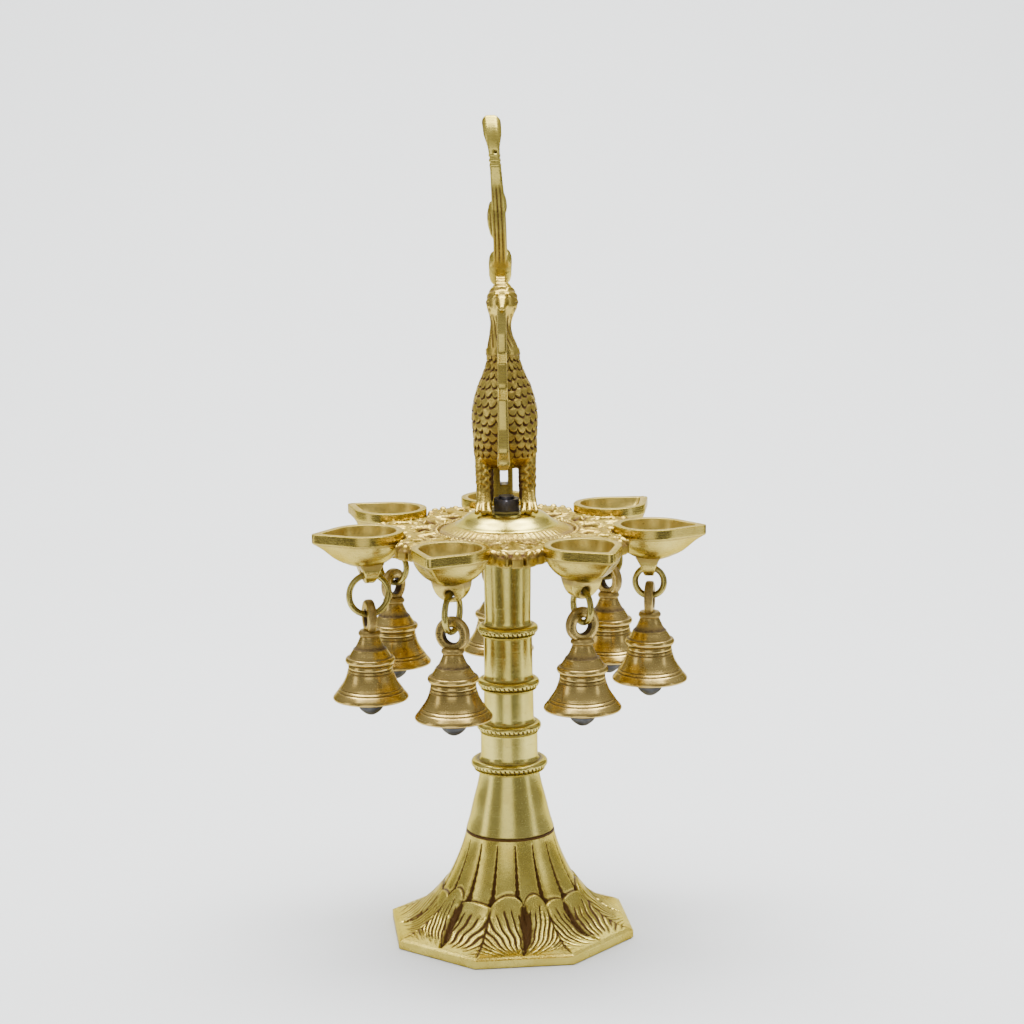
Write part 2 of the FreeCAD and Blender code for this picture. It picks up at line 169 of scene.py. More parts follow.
# ================================================================ meshes
class Shape:
    """Vertices in millimetres, four-sided faces, and the patina and painted shade of each vertex."""

    def __init__(self, verts, quads, patina_and_shade=None):
        self.verts = np.asarray(verts, float)
        self.quads = np.asarray(quads, int)
        self.patina_and_shade = np.zeros(len(self.verts)) if patina_and_shade is None else np.asarray(patina_and_shade, float).ravel()

    def __add__(self, other):
        quads = np.concatenate([self.quads, other.quads + len(self.verts)])
        patina_and_shade = np.concatenate([self.patina_and_shade, other.patina_and_shade])
        return Shape(np.concatenate([self.verts, other.verts]), quads, patina_and_shade)

    def moved(self, change):
        return Shape(change(self.verts), self.quads, self.patina_and_shade)

    def darkened(self, added):
        """The same shape, darker by the added amount: more patina, and painted shade where a caller paints
        it.
        """
        return Shape(self.verts, self.quads, np.clip(self.patina_and_shade + added, 0, 1))

    def facing_out(self):
        """The same shape with its faces turned, if need be, to look away from its inside."""
        quads = self.quads if signed_volume(self) >= 0 else self.quads[:, ::-1]
        return Shape(self.verts, quads, self.patina_and_shade)


def grid(points, close_u=True, close_v=True, patina_and_shade=None):
    """A surface from rows (v) of points (u), each way closed into a ring or left open at its ends."""
    v, u = points.shape[:2]
    index = np.arange(v * u).reshape(v, u)
    right = np.roll(index, -1, axis=1)
    up = np.roll(index, -1, axis=0)
    both = np.roll(up, -1, axis=1)
    quads = np.stack([index, right, both, up], -1)
    if not close_v:
        quads = quads[:-1]
    if not close_u:
        quads = quads[:, :-1]
    return Shape(points.reshape(-1, 3), quads.reshape(-1, 4), None if patina_and_shade is None else patina_and_shade.reshape(-1))


def round_axis(r, z, patina_and_shade=None, centre=(0.0, 0.0)):
    """A surface from rows of radii and heights, spread over a full turn about an upright axis."""
    angle = full_turn(r.shape[1])
    points = np.stack([centre[0] + r * np.sin(angle), centre[1] - r * np.cos(angle), z], -1)
    return grid(points[:, ::-1], patina_and_shade=None if patina_and_shade is None else patina_and_shade[:, ::-1])


def spread(profile, segments):
    """The radii and the heights of a closed profile, each repeated once per segment."""
    return np.repeat(profile[:, [0]], segments, axis=1), np.repeat(profile[:, [1]], segments, axis=1)


def revolved(profile, segments, centre=(0.0, 0.0)):
    """A closed (r, z) profile turned about an upright axis."""
    return round_axis(*spread(profile, segments), centre=centre)


def wire_ring(centre, big, wire, segments=96, sides=20, wobble=0.0):
    """A bent wire ring that stands upright, with its own axis along X."""
    a = full_turn(segments)[:, None]
    b = full_turn(sides)
    thick = wire * (1 + 0.5 * wobble * np.sin(3 * a + 1.1))
    reach = big + wobble * (np.sin(2 * a + 0.7) + 0.5 * np.sin(5 * a)) + thick * np.cos(b)
    points = np.stack([thick * np.sin(b), reach * np.sin(a), reach * np.cos(a)], -1) + centre
    return grid(points[:, ::-1])


def solid_from_field(field, low, high, cell):
    """The surface where field(x, y, z) is zero, negative inside, sampled every cell millimetres."""
    low = np.asarray(low, float)
    count = np.ceil((np.asarray(high, float) - low) / cell).astype(int) + 1
    axes = [low[i] + cell * np.arange(count[i]) for i in range(3)]
    x, y, z = np.meshgrid(*axes, indexing="ij", sparse=True)
    values = np.broadcast_to(field(x, y, z), count).astype(np.float32)
    volume = openvdb.FloatGrid()
    volume.copyFromArray(np.ascontiguousarray(values))
    points, quads = volume.convertToQuads(0.0)
    return Shape(points * cell + low, quads).facing_out()


def signed_volume(shape):
    a, b, c, d = (shape.verts[shape.quads[:, i]] for i in range(4))
    return float((np.cross(a, b) * c).sum() + (np.cross(a, c) * d).sum()) / 6


def edges_of(shape):
    q = shape.quads
    pairs = np.concatenate([q[:, [0, 1]], q[:, [1, 2]], q[:, [2, 3]], q[:, [3, 0]]])
    return np.unique(np.sort(pairs, axis=1), axis=0)


def neighbour_mean(values, edges):
    """For each vertex, the mean of the vertices that share an edge with it."""
    count = len(values)
    total = np.zeros_like(values)
    for column in range(values.shape[1]):
        for here, there in ((0, 1), (1, 0)):
            total[:, column] += np.bincount(edges[:, here], values[edges[:, there], column], count)
    weight = np.bincount(edges.ravel(), minlength=count)
    return total / np.maximum(weight, 1)[:, None]


def relaxed(shape, times, amount):
    """The shape with its corners softened."""
    edges = edges_of(shape)
    verts = shape.verts
    for _ in range(times):
        verts = verts + amount * (neighbour_mean(verts, edges) - verts)
    return Shape(verts, shape.quads, shape.patina_and_shade)


def normals(shape):
    v, q = shape.verts, shape.quads
    face = np.cross(v[q[:, 2]] - v[q[:, 0]], v[q[:, 3]] - v[q[:, 1]])
    total = np.zeros_like(v)
    for corner in range(4):
        for column in range(3):
            total[:, column] += np.bincount(q[:, corner], face[:, column], len(v))
    return total / np.maximum(np.linalg.norm(total, axis=1), 1e-9)[:, None]


def with_cavities(shape, times, depth, strength):
    """Adds patina where the surface is hollow compared with its own smoothed self."""
    flat = relaxed(shape, times, 0.6).verts
    hollow = ((flat - shape.verts) * normals(shape)).sum(1)
    return shape.darkened(strength * np.clip(hollow / depth, 0, 1))


def piece(name, shape, body, node, material, sharp=None):
    """One visible piece: a mesh object that rides on its body and stands for its CAD node."""
    mesh = bpy.data.meshes.new(name)
    count, faces = len(shape.verts), len(shape.quads)
    mesh.vertices.add(count)
    mesh.vertices.foreach_set("co", (shape.verts * MM).astype(np.float32).ravel())
    mesh.loops.add(faces * 4)
    mesh.loops.foreach_set("vertex_index", shape.quads.astype(np.int32).ravel())
    mesh.polygons.add(faces)
    mesh.polygons.foreach_set("loop_start", np.arange(0, faces * 4, 4, dtype=np.int32))
    mesh.update(calc_edges=True)
    mesh.validate()
    mesh.polygons.foreach_set("use_smooth", np.ones(len(mesh.polygons), bool))
    layer = mesh.attributes.new("patina_and_shade", "FLOAT", "POINT")
    layer.data.foreach_set("value", np.clip(shape.patina_and_shade, 0, 1).astype(np.float32))
    if sharp is not None:
        mesh.set_sharp_from_angle(angle=math.radians(sharp))
    obj = linked(name, mesh)
    mesh.materials.append(material)
    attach(obj, body)
    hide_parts(node)


def linked(name, data):
    obj = bpy.data.objects.new(name, data)
    bpy.context.scene.collection.objects.link(obj)
    return obj


# ================================================================ materials
class Tree:
    """The node tree of a material or a world, with short ways to add what is used here."""

    def __init__(self, owner):
        owner.use_nodes = True
        self.nodes = owner.node_tree.nodes
        self.links = owner.node_tree.links

    def set(self, socket, value):
        """Joins the socket to another node's output, or gives it a value of its own."""
        if isinstance(value, bpy.types.NodeSocket):
            self.links.new(value, socket)
        else:
            socket.default_value = value

    def add(self, kind, inputs=(), **settings):
        node = self.nodes.new(kind)
        for name, value in settings.items():
            setattr(node, name, value)
        for name, value in dict(inputs).items():
            self.set(node.inputs[name], value)
        return node

    def noise(self, scale, detail, stretch=(1, 1, 1)):
        where = self.add("ShaderNodeTexCoord").outputs["Object"]
        mapping = self.add("ShaderNodeMapping", {"Vector": where, "Scale": stretch})
        inputs = {"Vector": mapping.outputs["Vector"], "Scale": scale, "Detail": detail, "Roughness": 0.6}
        return self.add("ShaderNodeTexNoise", inputs).outputs["Fac"]

    def ramp(self, source, stops):
        node = self.add("ShaderNodeValToRGB", {"Fac": source})
        first, last = node.color_ramp.elements
        first.position, first.color = stops[0][0], (*stops[0][1], 1)
        last.position, last.color = stops[-1][0], (*stops[-1][1], 1)
        for position, colour in stops[1:-1]:
            node.color_ramp.elements.new(position).color = (*colour, 1)
        return node.outputs["Color"]

    def mapped(self, source, low, high, to_low, to_high):
        inputs = {"Value": source, "From Min": low, "From Max": high, "To Min": to_low, "To Max": to_high}
        return self.add("ShaderNodeMapRange", inputs).outputs["Result"]

    def maths(self, operation, one, other, clamp=False):
        return self.add("ShaderNodeMath", {0: one, 1: other}, operation=operation, use_clamp=clamp).outputs[0]

    def mixed(self, factor, one, other, kind="FLOAT"):
        node = self.add("ShaderNodeMix", {"Factor": factor, "A": one, "B": other}, data_type=kind)
        return node.outputs["Result"]


def new_material(name):
    """A material with only a Principled shader in it, its node tree and the shader's inputs."""
    material = bpy.data.materials.new(name)
    tree = Tree(material)
    tree.nodes.clear()
    shader = tree.add("ShaderNodeBsdfPrincipled")
    tree.add("ShaderNodeOutputMaterial", {"Surface": shader.outputs["BSDF"]})
    return material, tree, shader.inputs


def metal(name, light, dark, patina_and_shade, rough, rough_patina, grain, lathe=0.0, tarnish=0.5, stretch=(1, 1, 1)):
    """Metal with colour drift, tool marks, cast grain and specks, covered where the per-vertex patina and
    painted shade value is high.
    """
    material, tree, inputs = new_material(name)
    colour = tree.ramp(tree.noise(55, 5), [(0.32, dark), (0.62, light)])
    specks = tree.mapped(tree.noise(420, 4), 0.60, 0.76, 0, tarnish)
    broken = tree.mapped(tree.noise(1300, 3), 0.3, 0.7, -0.22, 0.16)
    # the per-vertex value holds patina and painted shade
    vertex_patina_and_shade = tree.add("ShaderNodeAttribute", attribute_name="patina_and_shade").outputs["Fac"]
    covered = tree.maths("ADD", tree.maths("MULTIPLY", vertex_patina_and_shade, 1.25), broken)
    covered = tree.maths("MAXIMUM", covered, specks, clamp=True)
    tree.set(inputs["Base Color"], tree.mixed(covered, colour, (*patina_and_shade, 1), "RGBA"))
    tree.set(inputs["Metallic"], tree.mapped(covered, 0.2, 0.9, 1.0, 0.0))
    inputs["Specular IOR Level"].default_value = 0.25
    inputs["Specular Tint"].default_value = (0.58, 0.52, 0.36, 1.0)
    worn = tree.mapped(tree.noise(130, 6, stretch), 0.3, 0.7, rough * 0.8, rough * 1.25)
    tree.set(inputs["Roughness"], tree.mixed(covered, worn, rough_patina))
    marks = tree.maths("MULTIPLY", tree.noise(260, 4, stretch), lathe)
    height = tree.maths("ADD", marks, tree.maths("MULTIPLY", tree.noise(1100, 3), grain))
    bump = tree.add("ShaderNodeBump", {"Height": height, "Strength": 1.0, "Distance": 0.0004})
    tree.set(inputs["Normal"], bump.outputs["Normal"])
    return material


turned_brass = metal("turned_brass", (0.62, 0.525, 0.14), (0.50, 0.405, 0.092), (0.075, 0.036, 0.010),
                     rough=0.22, rough_patina=0.55, lathe=0.035, grain=0.03, tarnish=0.2,
                     stretch=(0.3, 0.3, 40))
carved_brass = metal("carved_brass", (0.66, 0.54, 0.12), (0.50, 0.38, 0.065), (0.075, 0.034, 0.008),
                     rough=0.25, rough_patina=0.6, grain=0.10, tarnish=0.3)
cast_brass = metal("cast_brass", (0.60, 0.455, 0.105), (0.42, 0.285, 0.050), (0.07, 0.030, 0.008),
                   rough=0.27, rough_patina=0.65, grain=0.22)
bowl_brass = metal("bowl_brass", (0.57, 0.45, 0.112), (0.42, 0.315, 0.066), (0.40, 0.28, 0.075),
                   rough=0.25, rough_patina=0.5, lathe=0.03, grain=0.08, tarnish=0.25, stretch=(1, 1, 18))
wire_brass = metal("wire_brass", (0.46, 0.385, 0.11), (0.28, 0.22, 0.055), (0.07, 0.035, 0.010),
                   rough=0.25, rough_patina=0.5, grain=0.12)
bell_bronze = metal("bell_bronze", (0.54, 0.395, 0.128), (0.41, 0.285, 0.082), (0.045, 0.024, 0.010),
                    rough=0.22, rough_patina=0.6, lathe=0.012, grain=0.03, tarnish=0.25,
                    stretch=(0.3, 0.3, 12))
dark_iron = metal("dark_iron", (0.10, 0.10, 0.10), (0.035, 0.035, 0.04), (0.02, 0.018, 0.016),
                  rough=0.45, rough_patina=0.7, grain=0.2, tarnish=0.35)
steel = metal("steel", (0.20, 0.19, 0.215), (0.08, 0.075, 0.09), (0.03, 0.025, 0.025),
              rough=0.42, rough_patina=0.65, grain=0.2, tarnish=0.35)


# ================================================================ lotus base
PETALS = 8
ROD_HOLE = 4.3
CORNER_ANGLE = -16.3
CORNER_RADIUS = 67.06
RIM_TOP = 4.3
SEAM = 56.0
TONGUE_TOP = SEAM - 2.5
TONGUE_FOOT = 25.0
PETAL_TOP_RADIUS = 36.5
VEINS = 4.3


def base_relief(angle, radius, height):
    """Height above the plain flare and patina: eight leaves on the corners below, sixteen tongues above."""
    sector = 360.0 / PETALS
    plain = np.degrees(angle) - CORNER_ANGLE
    plain_u = np.abs((plain + sector / 2) % sector - sector / 2) / (sector / 2)
    v = (radius - PETAL_TOP_RADIUS) / (CORNER_RADIUS - PETAL_TOP_RADIUS)
    turned = plain - 4.6 * (1 - smooth(0.30, 0.95, v)) * np.sin(np.radians(4 * plain))
    off = (turned + sector / 2) % sector - sector / 2
    number = np.round(turned / sector) % PETALS
    half = np.where(off < 0, -1.0, 1.0)
    u = np.abs(off) / (sector / 2)
    odd = np.sin(number * 2.7 + half * 1.3)
    arch = np.sqrt(np.clip(1 - (2 * u - 1) ** 2, 0, 1))
    edge = 0.03 - (0.085 + 0.045 * odd) * arch
    on_petal = smooth(edge - 0.012, edge + 0.018, v)

    # thin veins sweep from the midrib out to the gap between two leaves
    sweep = (0.76 + 0.08 * odd) * np.clip(v, 0, 1) ** 1.35
    start = (u - 1.22 * sweep) / (1 - sweep)
    phase = start * (VEINS + 0.4 * odd) + 0.30
    phase = phase + 0.14 * np.sin(9 * v + number) + 0.08 * np.sin(23 * v + 2 * number)
    which = np.round(phase)
    near = np.abs(phase - which) * 2
    begins = 0.05 + 0.10 * np.abs(np.sin(which * 1.9 + number * 2.3))
    ends = 0.84 + 0.09 * np.sin(which * 2.9 + number * 1.7)
    alive = smooth(0.0, 0.10, v - edge - begins) * (1 - smooth(ends - 0.14, ends, v))
    width = 0.38 + 0.10 * np.sin(which * 4.1 + number) + 0.12 * smooth(0.1, 0.5, v)
    vein = falloff(near, width) ** 0.8 * alive

    # the deep rough cut between two leaves and the thin midrib on the corner
    across = np.radians(sector / 2 * (1 - u)) * radius
    ragged = 0.35 * np.sin(31 * v + number * 3) + 0.25 * np.sin(57 * v + number)
    cut_width = 1.3 + (2.6 + 0.7 * odd) * between(v, -0.02, 0.16, 0.38, 0.78) + ragged
    cut = falloff(across, cut_width) * between(v, edge, edge + 0.06, 0.80, 0.92)
    rib_across = np.radians(sector / 2 * u) * radius
    rib = falloff(rib_across, 0.8) * between(v, edge, edge + 0.1, 0.86, 0.94)

    # sixteen flat tongues with rough V cuts that widen downwards
    to_cut = np.radians(sector / 2) * radius * np.minimum(plain_u, 1 - plain_u)
    fall = np.clip((TONGUE_TOP - height) / (TONGUE_TOP - TONGUE_FOOT), 0, 1)
    wobble = 1 + 0.18 * np.sin(height * 1.7 + number * 2) + 0.12 * np.sin(height * 4.1 + number)
    width = (0.45 + 1.35 * fall**1.3 + 0.9 * smooth(0.88, 1.02, fall)) * wobble
    flute = falloff(to_cut, width) * smooth(0.0, 0.08, fall) * (1 - on_petal)
    belly = -0.22 * (2 * plain_u - 1) ** 2 * (1 - on_petal) * fall
    under = line_at(v, edge, 0.020) * (1 - on_petal * 0.5)

    swell = arch * (1 - smooth(0.0, 0.35, v))
    lift = on_petal * (0.55 + 0.35 * swell - 0.15 * near**2 * alive)
    deep = 0.85 * vein + 2.5 * cut**0.75 + 0.7 * rib
    deep = deep * on_petal + (0.4 + 1.5 * fall) * flute**0.8 + 0.7 * under
    patina_and_shade = on_petal * np.clip(1.9 * vein + 1.9 * cut + 1.2 * rib, 0, 1)
    patina_and_shade = patina_and_shade + np.clip(2.2 * flute, 0, 1) + 0.95 * under
    fade = smooth(CORNER_RADIUS - 0.2, CORNER_RADIUS - 3.0, radius)
    return (lift - deep + belly) * fade, np.clip(patina_and_shade, 0, 1) * fade


def lotus_base():
    """A hollow flare, round at the top and eight-sided at the foot, with its outside carved."""
    segments = 600
    flare = through([(CORNER_RADIUS, RIM_TOP), (56.5, 7.6), (46.5, 14.2), (38.0, 22.6), (33.0, 30.0),
                     (27.4, 42.0), (24.3, 51.0), (23.3, SEAM - 0.5)], 150)
    inside = [(ROD_HOLE, 50.0), (20.8, 50.0), (25.3, 35.6), (32.3, 21.6), (41.3, 12.2), (50.0, 6.2),
              (58.2, 1.4), (58.4, 0.4)]
    rim = [(59.0, 0.0), (CORNER_RADIUS - 0.7, 0.0), (CORNER_RADIUS, 0.6), (CORNER_RADIUS, 2.4)]
    profile = np.concatenate([inside, rim, flare, [(22.8, SEAM), (ROD_HOLE, SEAM)]])
    carved = slice(len(inside + rim), len(inside + rim) + len(flare))
    r, z = spread(profile, segments)
    angle = full_turn(segments)
    relief, darkening = base_relief(angle, r[carved], z[carved])

    # from the middle down, the outside is drawn in to an octagon
    sector = 360.0 / PETALS
    to_side = np.radians((np.degrees(angle) - CORNER_ANGLE) % sector - sector / 2)
    octagon = math.cos(math.radians(sector / 2)) / np.cos(to_side)
    weight = smooth(34.0, 62.0, profile[:, 0])
    weight[: len(inside)] = 0
    r = r * (1 - weight[:, None] * (1 - octagon))
    slope = directions(flare)
    r[carved] += slope[:, [1]] * relief
    z[carved] -= slope[:, [0]] * relief
    patina_and_shade = np.zeros_like(r)
    patina_and_shade[carved] = darkening
    patina_and_shade[carved.stop - 3 : carved.stop + 1] = 0.9
    patina_and_shade[: len(inside) - 1] = 0.7
    return round_axis(r, z, patina_and_shade)


# ================================================================ stem
def level_ends(node):
    lo, hi = box_mm(node)
    return lo[2], hi[2]


def stem_foot():
    bottom, top = level_ends("stem_foot")
    foot = [(19.8, bottom), (22.7, bottom)]
    outside = [(23.2, bottom + 0.6), (21.3, 63.0), (19.3, 71.5), (17.1, 80.0), (15.9, 86.0), (15.4, top)]
    inside = [(12.6, top), (14.2, 80.0), (18.6, 63.0)]
    profile = np.concatenate([foot, through(outside, 70), inside])
    shape = revolved(profile, 128)
    return shape.darkened(0.9 * falloff(shape.verts[:, 2] - bottom, 0.9))


# the tubes' outer radius at their lower and upper ends
TUBE_ENDS = {1: (15.1, 14.9), 2: (13.2, 13.0), 3: (12.8, 12.7), 4: (11.9, 12.7)}
TUBE_WALL = 2.6


def stem_tube(number):
    bottom, top = level_ends(f"stem_tube_{number}")
    low, high = TUBE_ENDS[number]
    rows = np.linspace(0, 1, 40)
    level = bottom + (top - bottom) * rows
    fillet = 0.9 * falloff(level - bottom, 2.4) ** 2 + 0.5 * falloff(top - level, 1.6) ** 2
    middle = np.stack([low + (high - low) * rows + fillet, level], -1)
    profile = np.concatenate([middle, [(high - TUBE_WALL, top), (low - TUBE_WALL, bottom)]])
    shape = revolved(profile, 128)
    z = shape.verts[:, 2]
    return shape.darkened(0.4 * falloff(z - bottom, 0.8) + 0.4 * falloff(top - z, 0.8))


def rope_collar(number):
    """A bead with slanting notches on its lower half, and a thin plain ring under it."""
    lo, hi = box_mm(f"rope_collar_{number}")
    radius, middle, half = hi[0], (lo[2] + hi[2]) / 2, (hi[2] - lo[2]) / 2
    core = radius - half
    a = np.linspace(math.radians(95), math.radians(-110), 46)
    bead = np.stack([core + half * np.cos(a), middle + half * np.sin(a)], -1)
    ring = through([(core - 0.4, middle - half - 0.2), (core + 0.7, middle - half - 0.9),
                    (core - 0.3, middle - half - 1.7)], 12)
    profile = np.concatenate([[(core - 3.2, middle + half)], bead, ring, [(core - 3.2, middle - half - 1.7)]])
    r, z = spread(profile, 480)
    angle = full_turn(480)
    a = a[:, None]
    crests = wave(round(radius * 2.5) * angle + a * 1.3 + 0.4 * np.sin(7 * angle))
    notch = smooth(0.45, 0.95, crests) * smooth(0.15, -0.15, a) * (1 - smooth(-1.35, -1.75, a))
    on_bead = slice(1, len(bead) + 1)
    r[on_bead] -= 0.55 * notch * np.cos(a)
    z[on_bead] -= 0.55 * notch * np.sin(a)
    patina_and_shade = np.zeros_like(r)
    # patina in the notches; the bead's top beside the tube is darkened with patina and painted shade in the
    # crevice
    patina_and_shade[on_bead] = 0.85 * notch + 0.3 * smooth(1.2, 1.6, a)
    patina_and_shade[len(bead) - 1 : len(bead) + 4] = 0.7
    patina_and_shade[0] = patina_and_shade[-1] = 1.0
    return round_axis(r, z, patina_and_shade)


def dome():
    crown = through([(27.3, 218.7), (27.2, 219.5), (26.4, 220.2), (24.9, 221.1), (23.2, 222.4), (21.2, 224.2),
                     (19.0, 225.6), (16.0, 226.5), (13.0, 226.9), (8.0, 227.0)], 70)
    hole = ROD_HOLE + 0.1
    profile = np.concatenate([[(hole, 218.0), (27.0, 218.0)], crown, [(hole, 227.0)]])
    shape = revolved(profile, 160)
    radius = np.hypot(shape.verts[:, 0], shape.verts[:, 1])
    line = line_at(radius, 26.9, 0.4) * smooth(219.6, 219.0, shape.verts[:, 2])
    # a dark turned line near the rim, and painted shade on the middle of the crown between the peacock's feet
    return shape.darkened(0.5 * line + 0.45 * smooth(14, 8, radius))


# ================================================================ oil wells
WELL_CENTRE = 75.5
WELL_BACK = 19.5
WELL_TIP = 28.2


def drop_outline(radius, tip, blunt, count=160):
    """The well's outline round its own centre: a round back and straight sides to a rounded tip at -Y."""
    reach = tip - blunt
    slope = math.acos((radius - blunt) / reach)
    back = np.linspace(slope - math.pi, math.pi - slope, count * 5 // 8) + math.pi / 2
    nose = np.linspace(-slope, slope, count // 8) - math.pi / 2
    round_back = np.stack([radius * np.cos(back), radius * np.sin(back)], -1)
    round_nose = np.stack([blunt * np.cos(nose), -reach + blunt * np.sin(nose)], -1)
    side = np.linspace(0, 1, count // 8 + 2)[1:-1][:, None]
    left = round_back[-1] * (1 - side) + round_nose[0] * side
    right = round_nose[-1] * (1 - side) + round_back[0] * side
    return np.concatenate([round_back, left, round_nose, right])


# height, radius of the round back, reach of the tip
BOWL_INSIDE = ((208.0, 0.4, 0.5), (208.0, 3.0, 3.4), (208.4, 6.2, 7.0), (210.2, 10.0, 11.6),
               (212.6, 12.8, 15.4), (215.4, 14.5, 18.6), (218.2, 15.3, 21.2), (220.0, 15.6, 22.3),
               (220.7, 15.8, 22.7), (221.0, 16.2, 23.2))
BOWL_OUTSIDE = ((221.0, 19.1, 27.7), (220.8, 19.4, 28.1), (220.3, WELL_BACK, WELL_TIP),
                (218.0, WELL_BACK, WELL_TIP), (216.3, 19.4, 28.1), (215.7, 19.1, 27.4),
                (214.6, 18.7, 25.6), (212.6, 17.9, 22.6), (210.0, 16.3, 19.6), (207.0, 13.5, 15.8),
                (204.6, 9.8, 11.0), (203.0, 6.0, 6.8), (202.6, 3.0, 3.4), (202.6, 0.4, 0.5))
# the tip's radius as a part of the back's
BLUNT = 0.15


def oil_bowl():
    """A drop-shaped cup: flat rim, upright band, an edge line, then a belly with a keel at the tip."""
    rows = []
    for z, radius, tip in BOWL_INSIDE + BOWL_OUTSIDE:
        ring = drop_outline(radius, tip, BLUNT * radius)
        rows.append(np.concatenate([ring, np.full((len(ring), 1), z)], axis=1))
    points = smooth_rows(np.array(rows), 3)
    inside = 3 * len(BOWL_INSIDE) - 1
    z = points[..., 2]
    patina_and_shade = np.zeros(points.shape[:2])
    brushed = 0.5 + 0.5 * np.sin(np.arctan2(points[..., 0], points[..., 1]) * 37 + 2 * np.sin(z))
    patina_and_shade[:inside] = (0.20 + 0.14 * brushed + 0.18 * smooth(216, 208.5, z))[:inside]
    patina_and_shade[inside:] = (0.55 * line_at(z, 215.6, 0.45) + 0.25 * smooth(207.0, 203.5, z))[inside:]
    points[..., 1] -= WELL_CENTRE
    return grid(points, close_v=False, patina_and_shade=patina_and_shade)


LUG_HOLE = 2.45


def lug(hang, hole):
    """The plate under a well: half round from the front, tapering from the side, drilled along the radius."""

    def field(x, y, z):
        plate = np.maximum(np.hypot(x, np.minimum(z - 202.4, 0)) - 8.7, z - 205.0)
        half = 2.2 + 0.31 * np.clip(z - 194.0, 0, 20) + 0.10 * np.clip(z - 200, 0, 9) ** 1.5
        thick = np.abs(y + hang) - half
        bore = LUG_HOLE - np.hypot(x, z - hole)
        return np.maximum(np.maximum(plate, thick), bore)

    shape = solid_from_field(field, (-10, -hang - 9, 193), (10, -hang + 9, 208), 0.36)
    shape = with_cavities(relaxed(shape, 3, 0.5), 5, 0.35, 0.5)
    x, z = shape.verts[:, 0], shape.verts[:, 2]
    return shape.darkened(0.8 * smooth(4.2, 2.4, np.hypot(x, z - hole)) + 0.6 * smooth(200.5, 203.0, z))


# ================================================================ rings, bells, clappers
def hanging_ring(hang, hole, diameter):
    middle = hole - diameter / 2
    shape = wire_ring((0.0, -hang, middle), diameter / 2, 1.62, wobble=0.07)
    below_top = hole - shape.verts[:, 2]
    above_foot = diameter - below_top
    return shape.darkened(0.7 * falloff(above_foot + 1.5, 2.4) + 0.5 * falloff(below_top + 1.5, 4.0))


PIVOT_BELOW_EYE = 17.0
# depths of the dark lines turned into the bell, below its eye
BELL_LINES = (16.05, 20.35, 24.15, 26.65, 28.35, 36.75, 38.25)


def bell(hang, eye):
    """A turned bell; heights count down from the eye's centre."""
    profile = np.concatenate([
        [(0.4, -6.4), (5.0, -6.5)],
        through([(5.2, -6.8), (5.7, -7.5), (5.8, -8.6), (5.4, -9.2), (5.0, -9.6)], 12),
        through([(5.0, -9.9), (6.0, -12.3), (7.3, -14.9), (8.1, -15.9)], 12),
        through([(8.6, -16.2), (8.9, -16.9), (9.8, -18.3), (10.9, -20.1)], 12),
        through([(11.1, -20.5), (12.2, -20.7), (12.9, -22.1), (12.3, -23.5), (11.2, -24.0)], 18),
        through([(11.0, -24.2), (11.3, -24.7), (11.5, -25.6), (11.4, -26.3)], 7),
        [(11.1, -26.5), (11.1, -26.8), (11.7, -27.0), (11.8, -28.0), (11.6, -28.2), (11.6, -28.5),
         (12.1, -28.7)],
        through([(12.3, -29.6), (13.2, -32.0), (14.8, -34.9), (15.9, -36.4)], 16),
        [(15.7, -36.7), (15.9, -37.0), (16.4, -37.2), (16.9, -37.9), (16.7, -38.2), (16.9, -38.5)],
        through([(17.4, -38.7), (18.5, -40.0), (19.4, -41.2), (19.6, -42.0), (19.2, -42.7),
                 (18.4, -42.8)], 16),
        through([(17.9, -42.6), (16.9, -41.0), (13.9, -36.3), (11.9, -32.9), (10.4, -30.3), (9.4, -27.0),
                 (9.0, -21.0), (7.4, -17.6), (4.0, -13.6), (0.4, -13.2)], 34),
    ])
    shape = revolved(profile, 128, (0.0, -hang))
    shape.verts[:, 2] += eye
    depth = eye - shape.verts[:, 2]
    radius = np.hypot(shape.verts[:, 0], shape.verts[:, 1] + hang)
    lines = sum(line_at(depth, level, 0.28) for level in BELL_LINES)
    wall = np.interp(depth, [13, 21, 27, 33, 42.8], [9, 10.6, 11.0, 13.2, 19.2])
    inside = smooth(0.8, 1.6, wall - radius)
    crown = 0.35 * smooth(13.5, 7.5, depth)
    shape = shape.darkened(0.75 * lines * (1 - inside) + 0.75 * inside * smooth(12, 16, depth) + crown)

    # the eye: a thick upright ring whose bore faces outwards from the stem
    a = full_turn(72)[:, None]
    wide, deep = squared_circle(full_turn(24), 0.55)
    r = 6.5 + 2.45 * wide
    x, z = np.cos(a) * r, np.sin(a) * r + 0.25 * (wide + 1)
    y = np.broadcast_to(2.3 * deep, x.shape)
    loop = grid(np.stack([x, y - hang, z + eye], -1)).facing_out()
    bore = np.hypot(loop.verts[:, 0], loop.verts[:, 2] - eye)
    return shape + loop.darkened(0.12 + 0.75 * smooth(5.2, 4.2, bore) + 0.3 * smooth(8.2, 8.9, bore))


def clapper(hang, pivot):
    """A rod with a pear-shaped knob and a wire eye; heights count down from the pivot."""
    profile = np.concatenate([
        [(0.1, -3.4), (0.9, -3.5)],
        through([(1.0, -4.0), (1.05, -12.0), (1.1, -20.4), (2.2, -22.4), (4.6, -25.2), (6.3, -27.8),
                 (6.5, -29.2), (5.9, -31.0), (4.0, -32.9), (1.8, -34.2), (0.1, -34.4)], 60),
    ])
    rod = revolved(profile, 48, (0.0, -hang))
    rod.verts[:, 2] += pivot
    return rod + wire_ring((0.0, -hang, pivot - 0.6), 2.4, 0.8, 48, 12)


